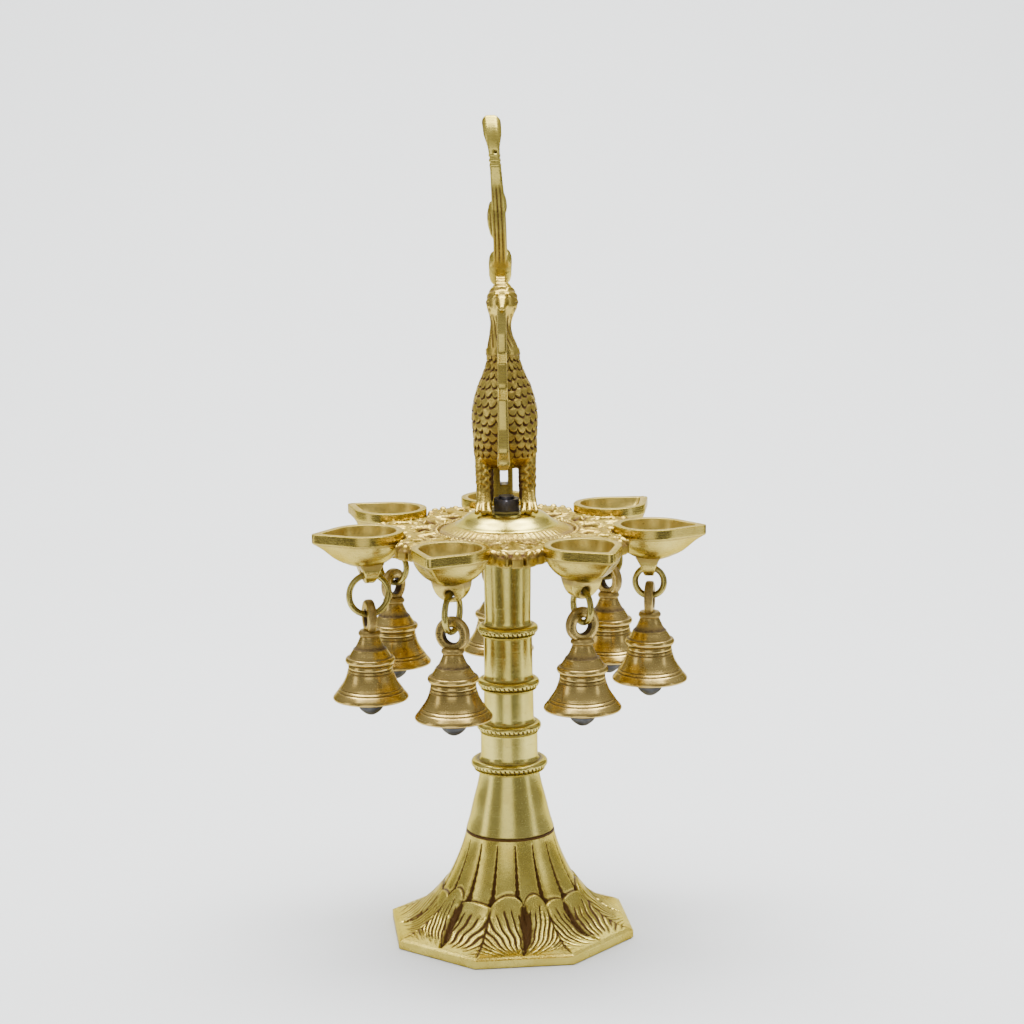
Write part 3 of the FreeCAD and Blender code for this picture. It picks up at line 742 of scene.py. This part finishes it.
# ================================================================ openwork tray
WELLS = 7
WELL_FIRST = -124.4
WELL_STEP = 360.0 / WELLS
TRAY_GROUND = 215.6
TRAY_BOTTOM = 210.4
# distance from the stem, distance off the lobe's middle line, and radius
LOBE_KNOBS = ((69.4, 0.0, 2.3), (66.6, 6.3, 2.4), (61.8, 11.4, 2.3), (70.6, 5.4, 1.3), (65.6, 0.0, 1.5),
              (66.2, 9.9, 1.3))


def segment_distance(x, y, points):
    """Distance to a path of straight runs, and how far along it the nearest place is (0 to 1)."""
    best = np.full(np.broadcast(x, y).shape, 1e9)
    along = np.zeros_like(best)
    p = np.asarray(points, float)
    total = len(p) - 1
    for i in range(total):
        d = p[i + 1] - p[i]
        t = np.clip(((x - p[i, 0]) * d[0] + (y - p[i, 1]) * d[1]) / (d @ d), 0, 1)
        gap = np.hypot(x - p[i, 0] - t * d[0], y - p[i, 1] - t * d[1])
        closer = gap < best
        best = np.where(closer, gap, best)
        along = np.where(closer, (i + t) / total, along)
    return best, along


def drop_distance(x, y, radius=WELL_BACK, tip=WELL_TIP, blunt=3.4):
    """Signed distance to the well's outline from its own centre, tip at -Y."""
    span = tip - blunt
    k = (radius - blunt) / span
    side = math.sqrt(1 - k * k)
    qx, qy = np.abs(x), -y
    along = qy * side - qx * k
    to_back = np.hypot(qx, qy) - radius
    to_tip = np.hypot(qx, qy - span) - blunt
    to_side = qx * side + qy * k - radius
    return np.where(along < 0, to_back, np.where(along > span * side, to_tip, to_side))


def ridge(gap, half_width, height):
    return height * np.sqrt(np.clip(1 - (gap / half_width) ** 2, 0, 1))


def tray_relief(x, y):
    """Height of the foliage above the tray's ground, and signed distance to its pierced outline."""
    radius = np.hypot(x, y)
    angle = np.degrees(np.arctan2(x, -y))
    sector = (angle - WELL_FIRST) / WELL_STEP
    off = np.radians((sector % 1 - 0.5) * WELL_STEP)
    along = radius * np.cos(off)
    across = radius * np.abs(np.sin(off))

    # the outline: hub, lobes between the wells, and the wells cut away
    lobe = np.minimum(np.hypot(along - 62.0, across) - 11.0, np.hypot(along - 57.5, across - 9.0) - 7.2)
    outline = np.minimum(radius - 57.0, lobe)
    outline = np.maximum(outline, along - 72.4)
    half = math.radians(WELL_STEP / 2)
    wx = across * math.cos(half) - along * math.sin(half)
    wy = -(along * math.cos(half) + across * math.sin(half)) + WELL_CENTRE
    well = drop_distance(wx, wy)
    outline = np.maximum(outline, -(well + 0.15))
    gap, t = segment_distance(along, across, [(74.0, 3.9), (68.0, 3.2)])
    outline = np.maximum(outline, 1.1 - 0.8 * t - gap)
    long_hole = np.hypot(along - 42.5, (across - 9.3) / 1.5) - 2.0
    small_hole = np.hypot((along - 57.0) / 1.35, across - 4.8) - 1.5
    outline = np.maximum(outline, -np.minimum(long_hole, small_hole))

    # a fluted collar falling away from the hub
    flutes = wave(off * WELLS * 10)
    collar = 4.3 - 2.9 * smooth(27.0, 34.5, radius) - 0.45 * flutes * smooth(27.5, 29.5, radius)
    height = np.where(radius < 35.0, collar, 0.0)
    height = np.maximum(height, ridge(np.hypot(radius - 36.6, ((off * 36.6 + 100) % 2.8) - 1.4), 1.3, 2.2))
    # beads along each well's inner side, then a blade that curves round them with lines along it
    round_well = np.arctan2(wx, wy) * (WELL_BACK + 1.7)
    beads = ridge(np.hypot(well - 1.7, ((round_well + 100) % 3.0) - 1.5), 1.35, 2.5)
    height = np.maximum(height, beads * smooth(37, 40, radius))
    blade = ridge(well - 5.6, 2.7, 2.7) * smooth(38, 42, radius) * (1 - smooth(64, 67, along))
    height = np.maximum(height, blade - 0.42 * wave(well * TAU / 1.75) * (blade > 0.2))
    # the middle leaf with slanting veins, two small curls beside it and knobs on the lobe's end
    width = np.interp(along, [38, 43, 50, 56, 61, 65], [0.6, 3.2, 4.6, 3.6, 4.4, 1.0])
    leaf = ridge(across, width, 3.0) * between(along, 38, 40, 64, 65)
    veins = wave((along + 1.1 * across) * TAU / 2.5)
    height = np.maximum(height, leaf - 0.5 * veins * (leaf > 0.3))
    curl_path = through([(52, 7.2), (56, 8.6), (60, 8.4), (62.6, 6.4), (61.0, 4.6), (59.4, 5.6)], 30)
    curl, t = segment_distance(along, across, curl_path)
    height = np.maximum(height, ridge(curl, 1.5, 3.0) - 0.2 * wave(t * 40) * (curl < 1.4))
    flow = (0.75 * well + 0.9 * across + 0.25 * along) * TAU / 2.6
    tuft_x, tuft_y = along - 47.0, across - 7.0
    tuft = wave(np.arctan2(tuft_y, tuft_x) * 7 + 0.9 * np.hypot(tuft_x, tuft_y))
    leaves = (0.9 + np.sqrt(wave(flow)) + 0.8 * tuft) * smooth(36.5, 39, radius)
    height = np.maximum(height, leaves * smooth(-0.6, -2.0, outline))
    for knob_along, knob_across, size in LOBE_KNOBS:
        gap = np.hypot(along - knob_along, across - knob_across)
        height = np.maximum(height, ridge(gap, size, 1.1 + size * 0.8))
    return height + 0.10 * np.sin(x * 1.3 + 1.7 * np.sin(y * 0.9)) * np.sin(y * 1.6), outline


def openwork_tray():
    lo, hi = box_mm("openwork_tray")

    def field(x, y, z):
        height, outline = tray_relief(x[..., 0], y[..., 0])
        edge = outline[..., None] + 0.07 * np.clip(z - 216.8, 0, 9) ** 1.5
        top = z - (TRAY_GROUND + height)[..., None]
        return np.maximum(np.maximum(edge, top * 0.8), (TRAY_BOTTOM - z) * 0.9)

    low, high = (lo[0] - 1.5, lo[1] - 1.5, 209.2), (hi[0] + 1.5, hi[1] + 1.5, 220.9)
    shape = solid_from_field(field, low, high, 0.60)
    shape = with_cavities(relaxed(shape, 2, 0.45), 8, 0.42, 1.0)
    z = shape.verts[:, 2]
    patch = 0.5 + 0.5 * np.sin(shape.verts[:, 0] * 0.31 + 2) * np.sin(shape.verts[:, 1] * 0.27 + z * 0.5)
    deep = smooth(218.0, 216.2, z) * 0.5 * smooth(214.0, 215.4, z)
    shape.patina_and_shade = np.minimum(shape.patina_and_shade + deep + 0.22 * patch, 0.95)
    return shape


# ================================================================ peacock
BIRD_LEAN = -0.5
BIRD_FOOT = 226.8
CREST_X, CREST_Y, CREST_Z = -0.7, -6.8, 340.4
RUFF_HEIGHT = 311.0
# height, half width, half depth, middle depth
TORSO = np.array([
    (248.5, 4.0, 4.0, 2.0), (250.5, 9.5, 9.5, 2.0), (256.0, 14.2, 15.0, 2.0), (263.0, 15.7, 18.5, 2.0),
    (271.0, 16.6, 20.6, 2.0), (278.0, 16.7, 21.4, 2.0), (285.0, 15.5, 20.4, 1.4), (292.0, 13.4, 17.4, -0.6),
    (299.0, 10.6, 13.8, -3.2), (306.0, 8.4, 10.8, -6.0), (313.0, 7.9, 9.0, -8.2), (319.0, 6.0, 7.6, -9.2),
    (325.0, 5.3, 7.0, -9.8), (330.0, 6.3, 8.0, -10.2), (335.0, 7.9, 9.6, -10.6), (340.0, 7.4, 9.0, -10.4),
    (344.5, 4.6, 6.6, -9.8), (347.5, 1.6, 3.0, -9.2),
])


def capsule(x, y, z, one, two, radius_one, radius_two):
    a, b = np.asarray(one, float), np.asarray(two, float)
    d = b - a
    t = np.clip(((x - a[0]) * d[0] + (y - a[1]) * d[1] + (z - a[2]) * d[2]) / (d @ d), 0, 1)
    gap = np.sqrt((x - a[0] - t * d[0]) ** 2 + (y - a[1] - t * d[1]) ** 2 + (z - a[2] - t * d[2]) ** 2)
    return gap - (radius_one + (radius_two - radius_one) * t)


def ellipsoid(x, y, z, middle, radii):
    square = sum(((value - at) / radius) ** 2 for value, at, radius in zip((x, y, z), middle, radii))
    return (np.sqrt(square) - 1) * min(radii)


def blend_of(one, other, soft):
    """Two solids joined with a soft fillet."""
    h = np.clip(0.5 + 0.5 * (other - one) / soft, 0, 1)
    return other * (1 - h) + one * h - soft * h * (1 - h)


def torso_at(z):
    """Half width, half depth and middle depth of the body at this height."""
    table = through(TORSO, 400)
    return [np.interp(z, table[:, 0], table[:, i]) for i in (1, 2, 3)]


def bird_field(x, y, z):
    wide, deep, middle = torso_at(z)
    body = (np.sqrt((x / wide) ** 2 + ((y - middle) / deep) ** 2) - 1) * np.minimum(wide, deep)
    body = np.maximum(body, np.maximum(249.0 - z, z - 347.0))
    ax = np.abs(x)
    body = blend_of(body, capsule(ax, y, z, (11.0, 0.0, 234.0), (11.2, 1.5, 260.0), 4.4, 4.9), 2.0)
    for start, end, thick in ((9.6, 8.4, 1.7), (11.4, 11.6, 2.1), (13.2, 15.2, 1.7)):
        low = capsule(ax, y, z, ((start + end) / 2, -6.5, 231.0), (end, -10.8, 228.0), thick, thick - 0.3)
        toe = capsule(ax, y, z, (start, -2.4, 237.5), ((start + end) / 2, -6.5, 231.0), 1.8, thick)
        body = blend_of(body, np.minimum(toe, low), 0.5)
    body = blend_of(body, capsule(ax, y, z, (11.0, 2.0, 231.0), (11.0, 7.5, 228.4), 3.2, 1.9), 0.8)
    wing = ellipsoid(ax, y - 0.15 * (z - 272), z, (10.6, 12.0, 272.0), (5.4, 14.0, 22.0))
    body = blend_of(body, wing, 2.5)
    ruff = np.sqrt((x / 1.05) ** 2 + ((y + 7.6) / 1.15) ** 2) - 8.3
    body = blend_of(body, np.maximum(ruff, np.abs(z - RUFF_HEIGHT) - 1.3), 1.0)
    beak = capsule(x, y, z, (0, -17.0, 337.5), (0, -26.0, 334.6), 3.4, 1.6)
    body = blend_of(body, beak, 0.9)
    crest = np.maximum(np.hypot(y - CREST_Y, z - CREST_Z) - 8.7, np.abs(x - CREST_X) - 2.4)
    body = blend_of(body, crest, 0.6)
    lid = capsule(ax, y, z, (3.0, -19.0, 341.0), (7.4, -12.5, 336.0), 0.9, 1.1)
    body = blend_of(body, lid, 0.5)
    return np.maximum(body, BIRD_FOOT - 0.2 - z)


def scale_rows(angle, height, rows, columns):
    """Overlapping scales: distance up from a scale's lower edge, and down from the edge that overlies it."""
    t = -height / rows
    far = 9.0
    own = np.full(t.shape, far)
    above = np.full(t.shape, far)
    for step in range(-2, 3):
        r = np.floor(t) + step
        place = (angle * columns / TAU + 0.5 * (r % 2)) % 1
        gap = r + ridge(2 * place - 1, 1, 0.72) - t
        own = np.where((gap >= 0) & (gap < own), gap, own)
        above = np.where((gap < 0) & (-gap < above), -gap, above)
    return own, above


def peacock():
    shape = relaxed(solid_from_field(bird_field, (-19.5, -31.0, 225.6), (19.5, 28.5, 351.0), 0.45), 2, 0.5)
    v, n = shape.verts, normals(shape)
    x, y, z = v.T
    wide, deep, middle = torso_at(z)
    angle = np.arctan2(x / wide, -(y - middle) / deep)
    body = between(z, 254.0, 258.0, 309.5, 310.5)
    uneven = 0.5 * np.sin(angle * 5 + z * 0.13) + 0.35 * np.sin(angle * 11 - z * 0.2)
    own, above = scale_rows(angle + 0.03 * np.sin(z * 0.7), z - 250.0 + uneven, 4.6, 22)
    bulge = np.clip(own / 0.9, 0, 1)
    lift = body * (0.95 * np.sqrt(np.clip(1 - (bulge - 0.25) ** 2 / 0.6, 0, 1)) - 0.5)
    darkening = body * np.maximum(smooth(0.38, 0.08, above), 0.8 * smooth(0.12, 0.0, own))
    lift -= body * 0.45 * smooth(0.25, 0.02, above)
    # the neck's fine plumes, the cheek's lines and the ribbed crest: where, lines, depth, stain and its width
    neck = between(z, 312.5, 314.5, 329.0, 331.0)
    cheek = between(z, 329.5, 331.5, 343.0, 345.0) * smooth(2.6, 3.6, np.abs(x))
    cheek *= 1 - smooth(-15.0, -17.0, y)
    crest = smooth(334.0, 336.0, z) * (1 - smooth(2.6, 3.3, np.abs(x - CREST_X)))
    crest *= 1 - smooth(-17.0, -18.0, y)
    for where, lines, deep_by, dark, spread_by in (
        (neck, wave(angle * 14 + 0.5 * z), 0.35, 0.75, 0.35),
        (cheek, wave(np.hypot(y + 16.0, z - 329.0) * 2.1), 0.40, 0.7, 0.3),
        (crest, wave(np.arctan2(y - CREST_Y, z - CREST_Z) * 22), 0.45, 0.6, 0.25),
    ):
        lift += where * deep_by * (lines - 0.5)
        darkening += where * dark * smooth(spread_by, 0.0, lines)
    # knurled legs, with painted shade on their inner faces where they face each other
    leg = 1 - smooth(250.0, 254.0, z)
    shank = leg * smooth(236.0, 239.0, z)
    knurl = np.sin(z * 1.5 + 0.5 * np.sin(y * 2)) * np.sin((x + y) * 1.3 + 0.7 * np.sin(z * 1.3))
    lift += shank * 0.25 * knurl
    darkening += shank * 0.45 * smooth(0.1, -0.6, knurl)
    # painted shade on the legs' inner faces
    darkening += 0.85 * leg * smooth(0.35, 0.9, -n[:, 0] * np.sign(x)) * smooth(230, 234, z)
    # painted shade on the scaled body's downward-facing undersides, and a slight even darkening all over it
    darkening += 0.45 * smooth(0.1, -0.7, n[:, 2]) * body + 0.10 * body
    shape = Shape(v + n * lift[:, None], shape.quads, np.clip(darkening, 0, 1))
    shape = with_cavities(shape, 6, 0.5, 0.7)
    shape.verts[:, 0] -= 1.1 * line_at(shape.verts[:, 2], 322.0, 9.0)
    return shape.moved(lambda p: leaning(p, BIRD_LEAN, BIRD_FOOT))


# ================================================================ tail
# the tail's middle line in depth and height, and half its width along that line
TAIL_MIDDLE = ((13.0, 227.0), (19.0, 240.0), (28.0, 256.0), (36.5, 274.0), (42.0, 294.0), (43.5, 314.0),
               (39.5, 334.0), (30.0, 352.0), (19.0, 367.0), (9.5, 382.0), (4.0, 396.0), (2.2, 409.0),
               (4.0, 420.0), (8.0, 428.5))
TAIL_REACH = (3.6, 5.6, 9.0, 12.4, 14.2, 13.8, 12.2, 10.4, 8.6, 7.2, 5.6, 4.6, 4.6, 3.0)
# height and half thickness of the plate
TAIL_THICK = ((227, 5.5), (250, 5.5), (256, 4.5), (270, 3.4), (345, 3.5), (380, 3.5), (390, 3.3),
              (397, 3.0), (404, 2.9), (411, 2.9), (414, 3.1), (420, 4.6), (426, 4.9), (430, 4.2))
# middle depth, height, size and rise of the bosses on the left face, on the right face and on both
BOSSES_LEFT = ((12.5, 376.5, 9.5, 2.7), (26.0, 350.5, 8.6, 3.0))
BOSSES_RIGHT = ((26.0, 351.5, 8.8, 2.7), (9.0, 385.0, 5.0, 1.0))
BOSSES_BOTH = ((40.0, 316.0, 7.0, 1.4), (46.0, 288.0, 7.0, 1.4))
# depth, height and size of the curled leaves along the back
BACK_LEAVES = ((57.5, 283.0, 4.6), (59.0, 306.0, 4.8), (55.0, 329.0, 4.6), (44.5, 350.0, 4.2),
               (31.0, 367.0, 3.8), (19.5, 384.0, 3.4), (11.6, 401.0, 2.8))
TAIL_FOOT = 227.0
TAIL_TOP = 429.6


def tail_plane(y, z):
    """Signed distance to the tail's side outline, distance from its middle line, and place along it."""
    along = np.linspace(0, 1, 90)
    reach = np.interp(along, np.linspace(0, 1, len(TAIL_REACH)), TAIL_REACH)
    gap, t = segment_distance(y, z, through(TAIL_MIDDLE, len(along)))
    edge = gap - np.interp(t, along, reach)
    scallop = 1.1 * np.abs(np.sin(t * 21.0)) - 0.5
    edge = edge - scallop * between(t, 0.12, 0.2, 0.78, 0.84)
    for cy, cz, size in BACK_LEAVES:
        edge = blend_of(edge, np.hypot(y - cy, z - cz) - size, 1.6)
    return np.maximum(np.maximum(edge, z - TAIL_TOP), TAIL_FOOT - z), gap, t


def tail():
    """An upright plate, edge-on from the front, with a rim, a midrib, barbs and bosses on its faces."""

    def field(x, y, z):
        edge, gap, t = tail_plane(y[0], z[0])
        half = np.interp(z[0], *zip(*TAIL_THICK))
        rim = smooth(-2.6, -1.4, edge)
        barbs = wave((gap * 0.9 + t * 190.0) * 1.15)
        relief = 0.9 - np.maximum(np.maximum(rim * 0.95, 0.62 * barbs), ridge(gap, 1.5, 1.0))
        relief = relief * between(t, 0.10, 0.16, 0.82, 0.88)

        def risen(bosses):
            each = [ridge(np.hypot(y[0] - cy, z[0] - cz), size, high) for cy, cz, size, high in bosses]
            return np.max(each, axis=0)

        left = risen(BOSSES_BOTH + BOSSES_LEFT)
        right = risen(BOSSES_BOTH + BOSSES_RIGHT)
        flat = np.where(x < 0, -x - (half - relief + left)[None], x - (half - relief + right)[None])
        bevel = 0.06 + 0.16 * smooth(412, 418, z)
        body = np.maximum(edge[None] + bevel * np.clip(np.abs(x) - 1.6, 0, 9) ** 2, flat)
        pit = np.hypot(x - 0.6, z - 411.6) - 0.9
        body = np.maximum(body, -np.maximum(pit, y - 1.0))
        slot = np.maximum(np.abs(x - 0.8) - 2.0, np.abs(z - 246.0) - 8.0)
        return np.maximum(body, -slot)

    shape = relaxed(solid_from_field(field, (-8.5, -7.0, 226.0), (8.5, 66.0, 430.6), 0.5), 2, 0.5)
    v, n = shape.verts, normals(shape)
    x, z = v[:, 0], v[:, 2]
    # rings round the neck of the tail's tip, and upright lines on the edge that faces forwards
    ribs = np.sin((z - 404.0) * TAU / 2.5) * between(z, 403.5, 404.5, 410.0, 411.0)
    lines = np.sin(x * 3.3) * between(z, 352.0, 356.0, 392.0, 396.0) * smooth(0.2, 0.7, -n[:, 1])
    shape.verts = v + n * (0.25 * ribs + 0.16 * lines)[:, None]
    # painted shade on the edge that faces forwards, darker still in the grooves between its upright lines
    front = smooth(0.35, 0.9, -n[:, 1]) * between(z, 346.0, 352.0, 392.0, 400.0)
    shape = with_cavities(shape, 8, 0.5, 0.95).darkened(front * (0.25 + 0.3 * smooth(0.3, -0.8, lines)))
    # painted shade on the tail's foot, low down behind the legs
    shape = shape.darkened(0.45 * (1 - smooth(252.0, 262.0, z)))
    # the plate stands a little left of the axis and its tip leans further left
    lean = 3.55 * (np.clip(z - 362.0, 0, 99) / 62.0) ** 1.6
    shape.verts[:, 0] -= 1.75 + lean + 0.25 * (1 - smooth(250, 262, z))
    return shape


# ================================================================ serpent
# depth and height of the corners between the strip's facets
SERPENT_PATH = ((-21.5, 336.2), (-23.0, 333.0), (-27.2, 321.5), (-27.0, 313.0), (-24.0, 306.5),
                (-27.4, 295.5), (-24.3, 288.0), (-24.8, 273.0), (-28.3, 262.5), (-26.3, 257.8),
                (-26.6, 254.6), (-25.6, 252.3))


SERPENT_MOUTH = 253.9
SERPENT_EYES = (-2.1, -0.2)


def serpent():
    """A flat strip of straight facets hanging from the beak, with a small blunt head at its lower end."""
    knots = np.array(SERPENT_PATH)
    level = np.linspace(knots[0, 1], knots[-1, 1], 190)
    depth = averaged_row(np.interp(-level, -knots[:, 1], knots[:, 0]), 4)
    down = [-336, -330, -300, -262, -257, -255, -253, -252.3]
    wide = np.interp(-level, down, [2.0, 2.4, 2.5, 2.9, 3.2, 3.2, 2.3, 1.4])
    thick = np.interp(-level, [-336, -262, -256, -252.3], [1.5, 1.6, 2.2, 1.4])
    thick -= 0.5 * line_at(level, SERPENT_MOUTH, 0.35)
    ahead = directions(np.stack([depth, level], -1))
    across, out = squared_circle(full_turn(40), 0.45)
    offset = thick[:, None] * out
    middle = np.interp(level, [254, 330], [-1.15, -1.35])
    x = middle[:, None] + wide[:, None] * across
    y = depth[:, None] + ahead[:, [1]] * offset
    z = level[:, None] - ahead[:, [0]] * offset
    points = np.stack([x, y, z], -1)
    for end in (0, -1):
        centre = points[end].mean(0)
        points[end] = centre + (points[end] - centre) * 0.6
    x, y, z = points[..., 0], points[..., 1], points[..., 2]
    front = y < depth[:, None]
    patina_and_shade = 0.9 * line_at(z, SERPENT_MOUTH, 0.35) * front
    for eye_x in SERPENT_EYES:
        patina_and_shade += smooth(0.65, 0.35, np.hypot(x - eye_x, z - 255.4)) * front
    # painted shade under the head, on the chin that faces downwards
    patina_and_shade += 0.30 * smooth(253.6, 252.8, z)
    # darker on the strip's two side faces
    patina_and_shade += 0.55 * smooth(0.80, 1.0, np.abs(across))
    # darker in a band across the strip just above the head
    patina_and_shade += 0.6 * line_at(level, 257.6, 0.8)[:, None]
    return grid(points, close_v=False, patina_and_shade=patina_and_shade).facing_out()


def hex_nut(node):
    """A hexagon nut with chamfered corners and the rod's end in it."""
    lo, hi = box_mm(node)
    half, bottom, top = (hi[0] - lo[0]) / 2, lo[2], hi[2]
    angle = full_turn(96)
    hexagon = half / np.cos(angle - np.round(angle / (TAU / 6)) * (TAU / 6))
    corner = half / math.cos(TAU / 12)
    chamfer = half * 1.02
    rod = 4.1
    profile = [(rod, bottom), (chamfer, bottom), (corner, bottom + 0.9), (corner, top - 0.9), (chamfer, top),
               (rod + 0.5, top), (rod, top - 0.5)]
    rows = []
    for reach, z in profile:
        r = np.minimum(hexagon, reach)
        rows.append(np.stack([r * np.cos(angle), r * np.sin(angle), np.full(len(angle), z)], -1))
    return grid(np.array(rows)).facing_out()


# ================================================================ put everything together
def shade_kept_nodes():
    kept = {"tie_rod": steel, "base_nut": steel, "base_washer": steel}
    kept.update({f"clapper_staple_{number}": wire_brass for number in range(1, WELLS + 1)})
    for node, material in kept.items():
        materials = frame["nodes"][node].data.materials
        materials.clear()
        materials.append(material)


def joint_place(name):
    """Where a joint's axis is, in millimetres."""
    joint = next(j for j in frame["joints"] if j["name"] == name)
    return np.array(joint["pos_m"]) / MM


def hang_everything():
    """Each well with its ring, bell and clapper, placed by the frame's joints."""
    bowl = oil_bowl()
    for number in range(1, WELLS + 1):
        top = joint_place(f"ring_{number}_swing")
        middle = joint_place(f"bell_{number}_swing")
        pivot = joint_place(f"clapper_{number}_swing")
        degrees = math.degrees(math.atan2(top[0], -top[1]))
        hang, hole = math.hypot(top[0], top[1]), top[2]
        diameter = 2 * (hole - middle[2])
        eye = pivot[2] + PIVOT_BELOW_EYE
        ring = hanging_ring(hang, hole, diameter)
        for name, body, node, shape, slot, material, sharp in (
            ("well", "stand", "oil_bowl", bowl + lug(hang, hole), "polished_brass", bowl_brass, 40),
            ("hanging_ring", "ring", "ring", ring, "wire_brass", wire_brass, None),
            ("turned_bell", "bell", "bell", bell(hang, eye), "bell_bronze", bell_bronze, 38),
            ("bell_clapper", "clapper", "clapper", clapper(hang, pivot[2]), "dark_iron", dark_iron, None),
        ):
            placed = shape.moved(lambda points: turned_about_stem(points, degrees))
            rides = body if body == "stand" else f"{body}_{number}"
            piece(f"{name}_{number}", placed, rides, f"{node}_{number}", material, sharp)


def stand():
    def fixed(name, node, shape, material, sharp=None):
        piece(name, shape, "stand", node, material, sharp)

    fixed("carved_base", "lotus_base", lotus_base(), carved_brass, 50)
    fixed("stem_cone", "stem_foot", stem_foot(), turned_brass, 35)
    for number in TUBE_ENDS:
        length, collar = stem_tube(number), rope_collar(number)
        fixed(f"stem_length_{number}", f"stem_tube_{number}", length, turned_brass, 35)
        fixed(f"rope_ring_{number}", f"rope_collar_{number}", collar, turned_brass, 50)
    fixed("foliage_tray", "openwork_tray", openwork_tray(), cast_brass)
    fixed("bird_dome", "dome", dome(), turned_brass, 35)
    fixed("dome_nut", "top_nut", hex_nut("top_nut"), steel, 25)
    fixed("peacock_figure", "peacock", peacock(), cast_brass)
    fixed("peacock_fan_tail", "peacock_tail", tail(), carved_brass)
    fixed("beak_serpent", "serpent", serpent(), bowl_brass, 50)


# ================================================================ studio
def paper():
    material, tree, inputs = new_material("pale_paper")
    colour = (0.76, 0.775, 0.78)
    darker = tuple(c * 0.985 for c in colour)
    tree.set(inputs["Base Color"], tree.ramp(tree.noise(6, 3), [(0.3, darker), (0.7, colour)]))
    inputs["Roughness"].default_value = 0.9
    inputs["Specular IOR Level"].default_value = 0.2
    return material


def backdrop():
    """A pale sweep: flat floor, then a wide curve up into a wall behind the lamp."""
    front, bend, top, left, right = -280.0, 700.0, 2400.0, -850, 720
    curve = [(bend * (1 + math.sin(a)), bend * (1 - math.cos(a))) for a in np.linspace(0.1, math.pi / 2, 16)]
    profile = np.array([(front, 0.0), (bend, 0.0)] + curve + [(2 * bend, top)])
    y, z = (column[:, None] for column in profile.T)
    points = np.stack(np.broadcast_arrays(np.linspace(left, right, 5), y, z), -1)
    shape = grid(points, close_u=False, close_v=False)
    mesh = bpy.data.meshes.new("studio_sweep")
    mesh.from_pydata((shape.verts * MM).tolist(), [], shape.quads.tolist())
    mesh.polygons.foreach_set("use_smooth", [True] * len(mesh.polygons))
    obj = linked("studio_sweep", mesh)
    mesh.materials.append(paper())


def area_light(name, place, target, width, height, power, colour=(1, 1, 1)):
    light = bpy.data.lights.new(name, "AREA")
    light.shape = "RECTANGLE"
    light.size, light.size_y = width, height
    light.energy = power
    light.color = colour
    obj = linked(name, light)
    obj.location = place
    obj.rotation_euler = (Vector(target) - Vector(place)).to_track_quat("-Z", "Y").to_euler()


def studio():
    """A grey sky, darker below and in front, and five soft panels."""
    world = bpy.data.worlds.new("studio_world")
    bpy.context.scene.world = world
    tree = Tree(world)
    sky = tree.nodes["Background"].inputs
    where = tree.add("ShaderNodeTexCoord").outputs["Generated"]
    split = tree.add("ShaderNodeSeparateXYZ", {"Vector": where}).outputs
    facing = tree.maths("ADD", split["Z"], tree.maths("MULTIPLY", split["Y"], 0.35))
    greys = [(0.0, (0.14, 0.14, 0.14)), (0.38, (0.38, 0.38, 0.38)), (0.78, (0.52, 0.52, 0.53)),
             (1.0, (1.0, 1.0, 1.0))]
    tree.set(sky["Color"], tree.ramp(tree.mapped(facing, -0.6, 1.0, 0, 1), greys))
    sky["Strength"].default_value = 1.0
    area_light("front_panel", (-0.25, -1.75, 0.10), (0, 0, 0.12), 1.15, 1.5, 8.0)
    area_light("left_panel", (-1.5, -0.45, 0.35), (0, 0, 0.2), 0.45, 1.3, 4.0, (1.0, 0.99, 0.96))
    area_light("right_panel", (1.5, -0.55, 0.35), (0, 0, 0.2), 0.30, 1.3, 2.2, (0.97, 0.99, 1.0))
    area_light("top_panel", (0.0, 0.1, 1.9), (0, 0.1, 0.0), 2.2, 1.5, 95)
    area_light("wall_wash", (0.0, 0.35, 1.9), (0, 1.3, 0.5), 2.4, 0.5, 44)


CAMERA_PLACE = (0.00281, -1.3257, 0.4688)
CAMERA_DOWN = 10.384
CAMERA_ROLL = -0.635


def camera():
    data = bpy.data.cameras.new("camera")
    data.lens = 91.21
    data.sensor_width = 36.0
    obj = linked("camera", data)
    pitch = Matrix.Rotation(math.radians(90 - CAMERA_DOWN), 4, "X")
    roll = Matrix.Rotation(math.radians(CAMERA_ROLL), 4, "Z")
    obj.matrix_world = Matrix.Translation(CAMERA_PLACE) @ pitch @ roll
    bpy.context.scene.camera = obj


stand()
hang_everything()
shade_kept_nodes()
backdrop()
studio()
camera()
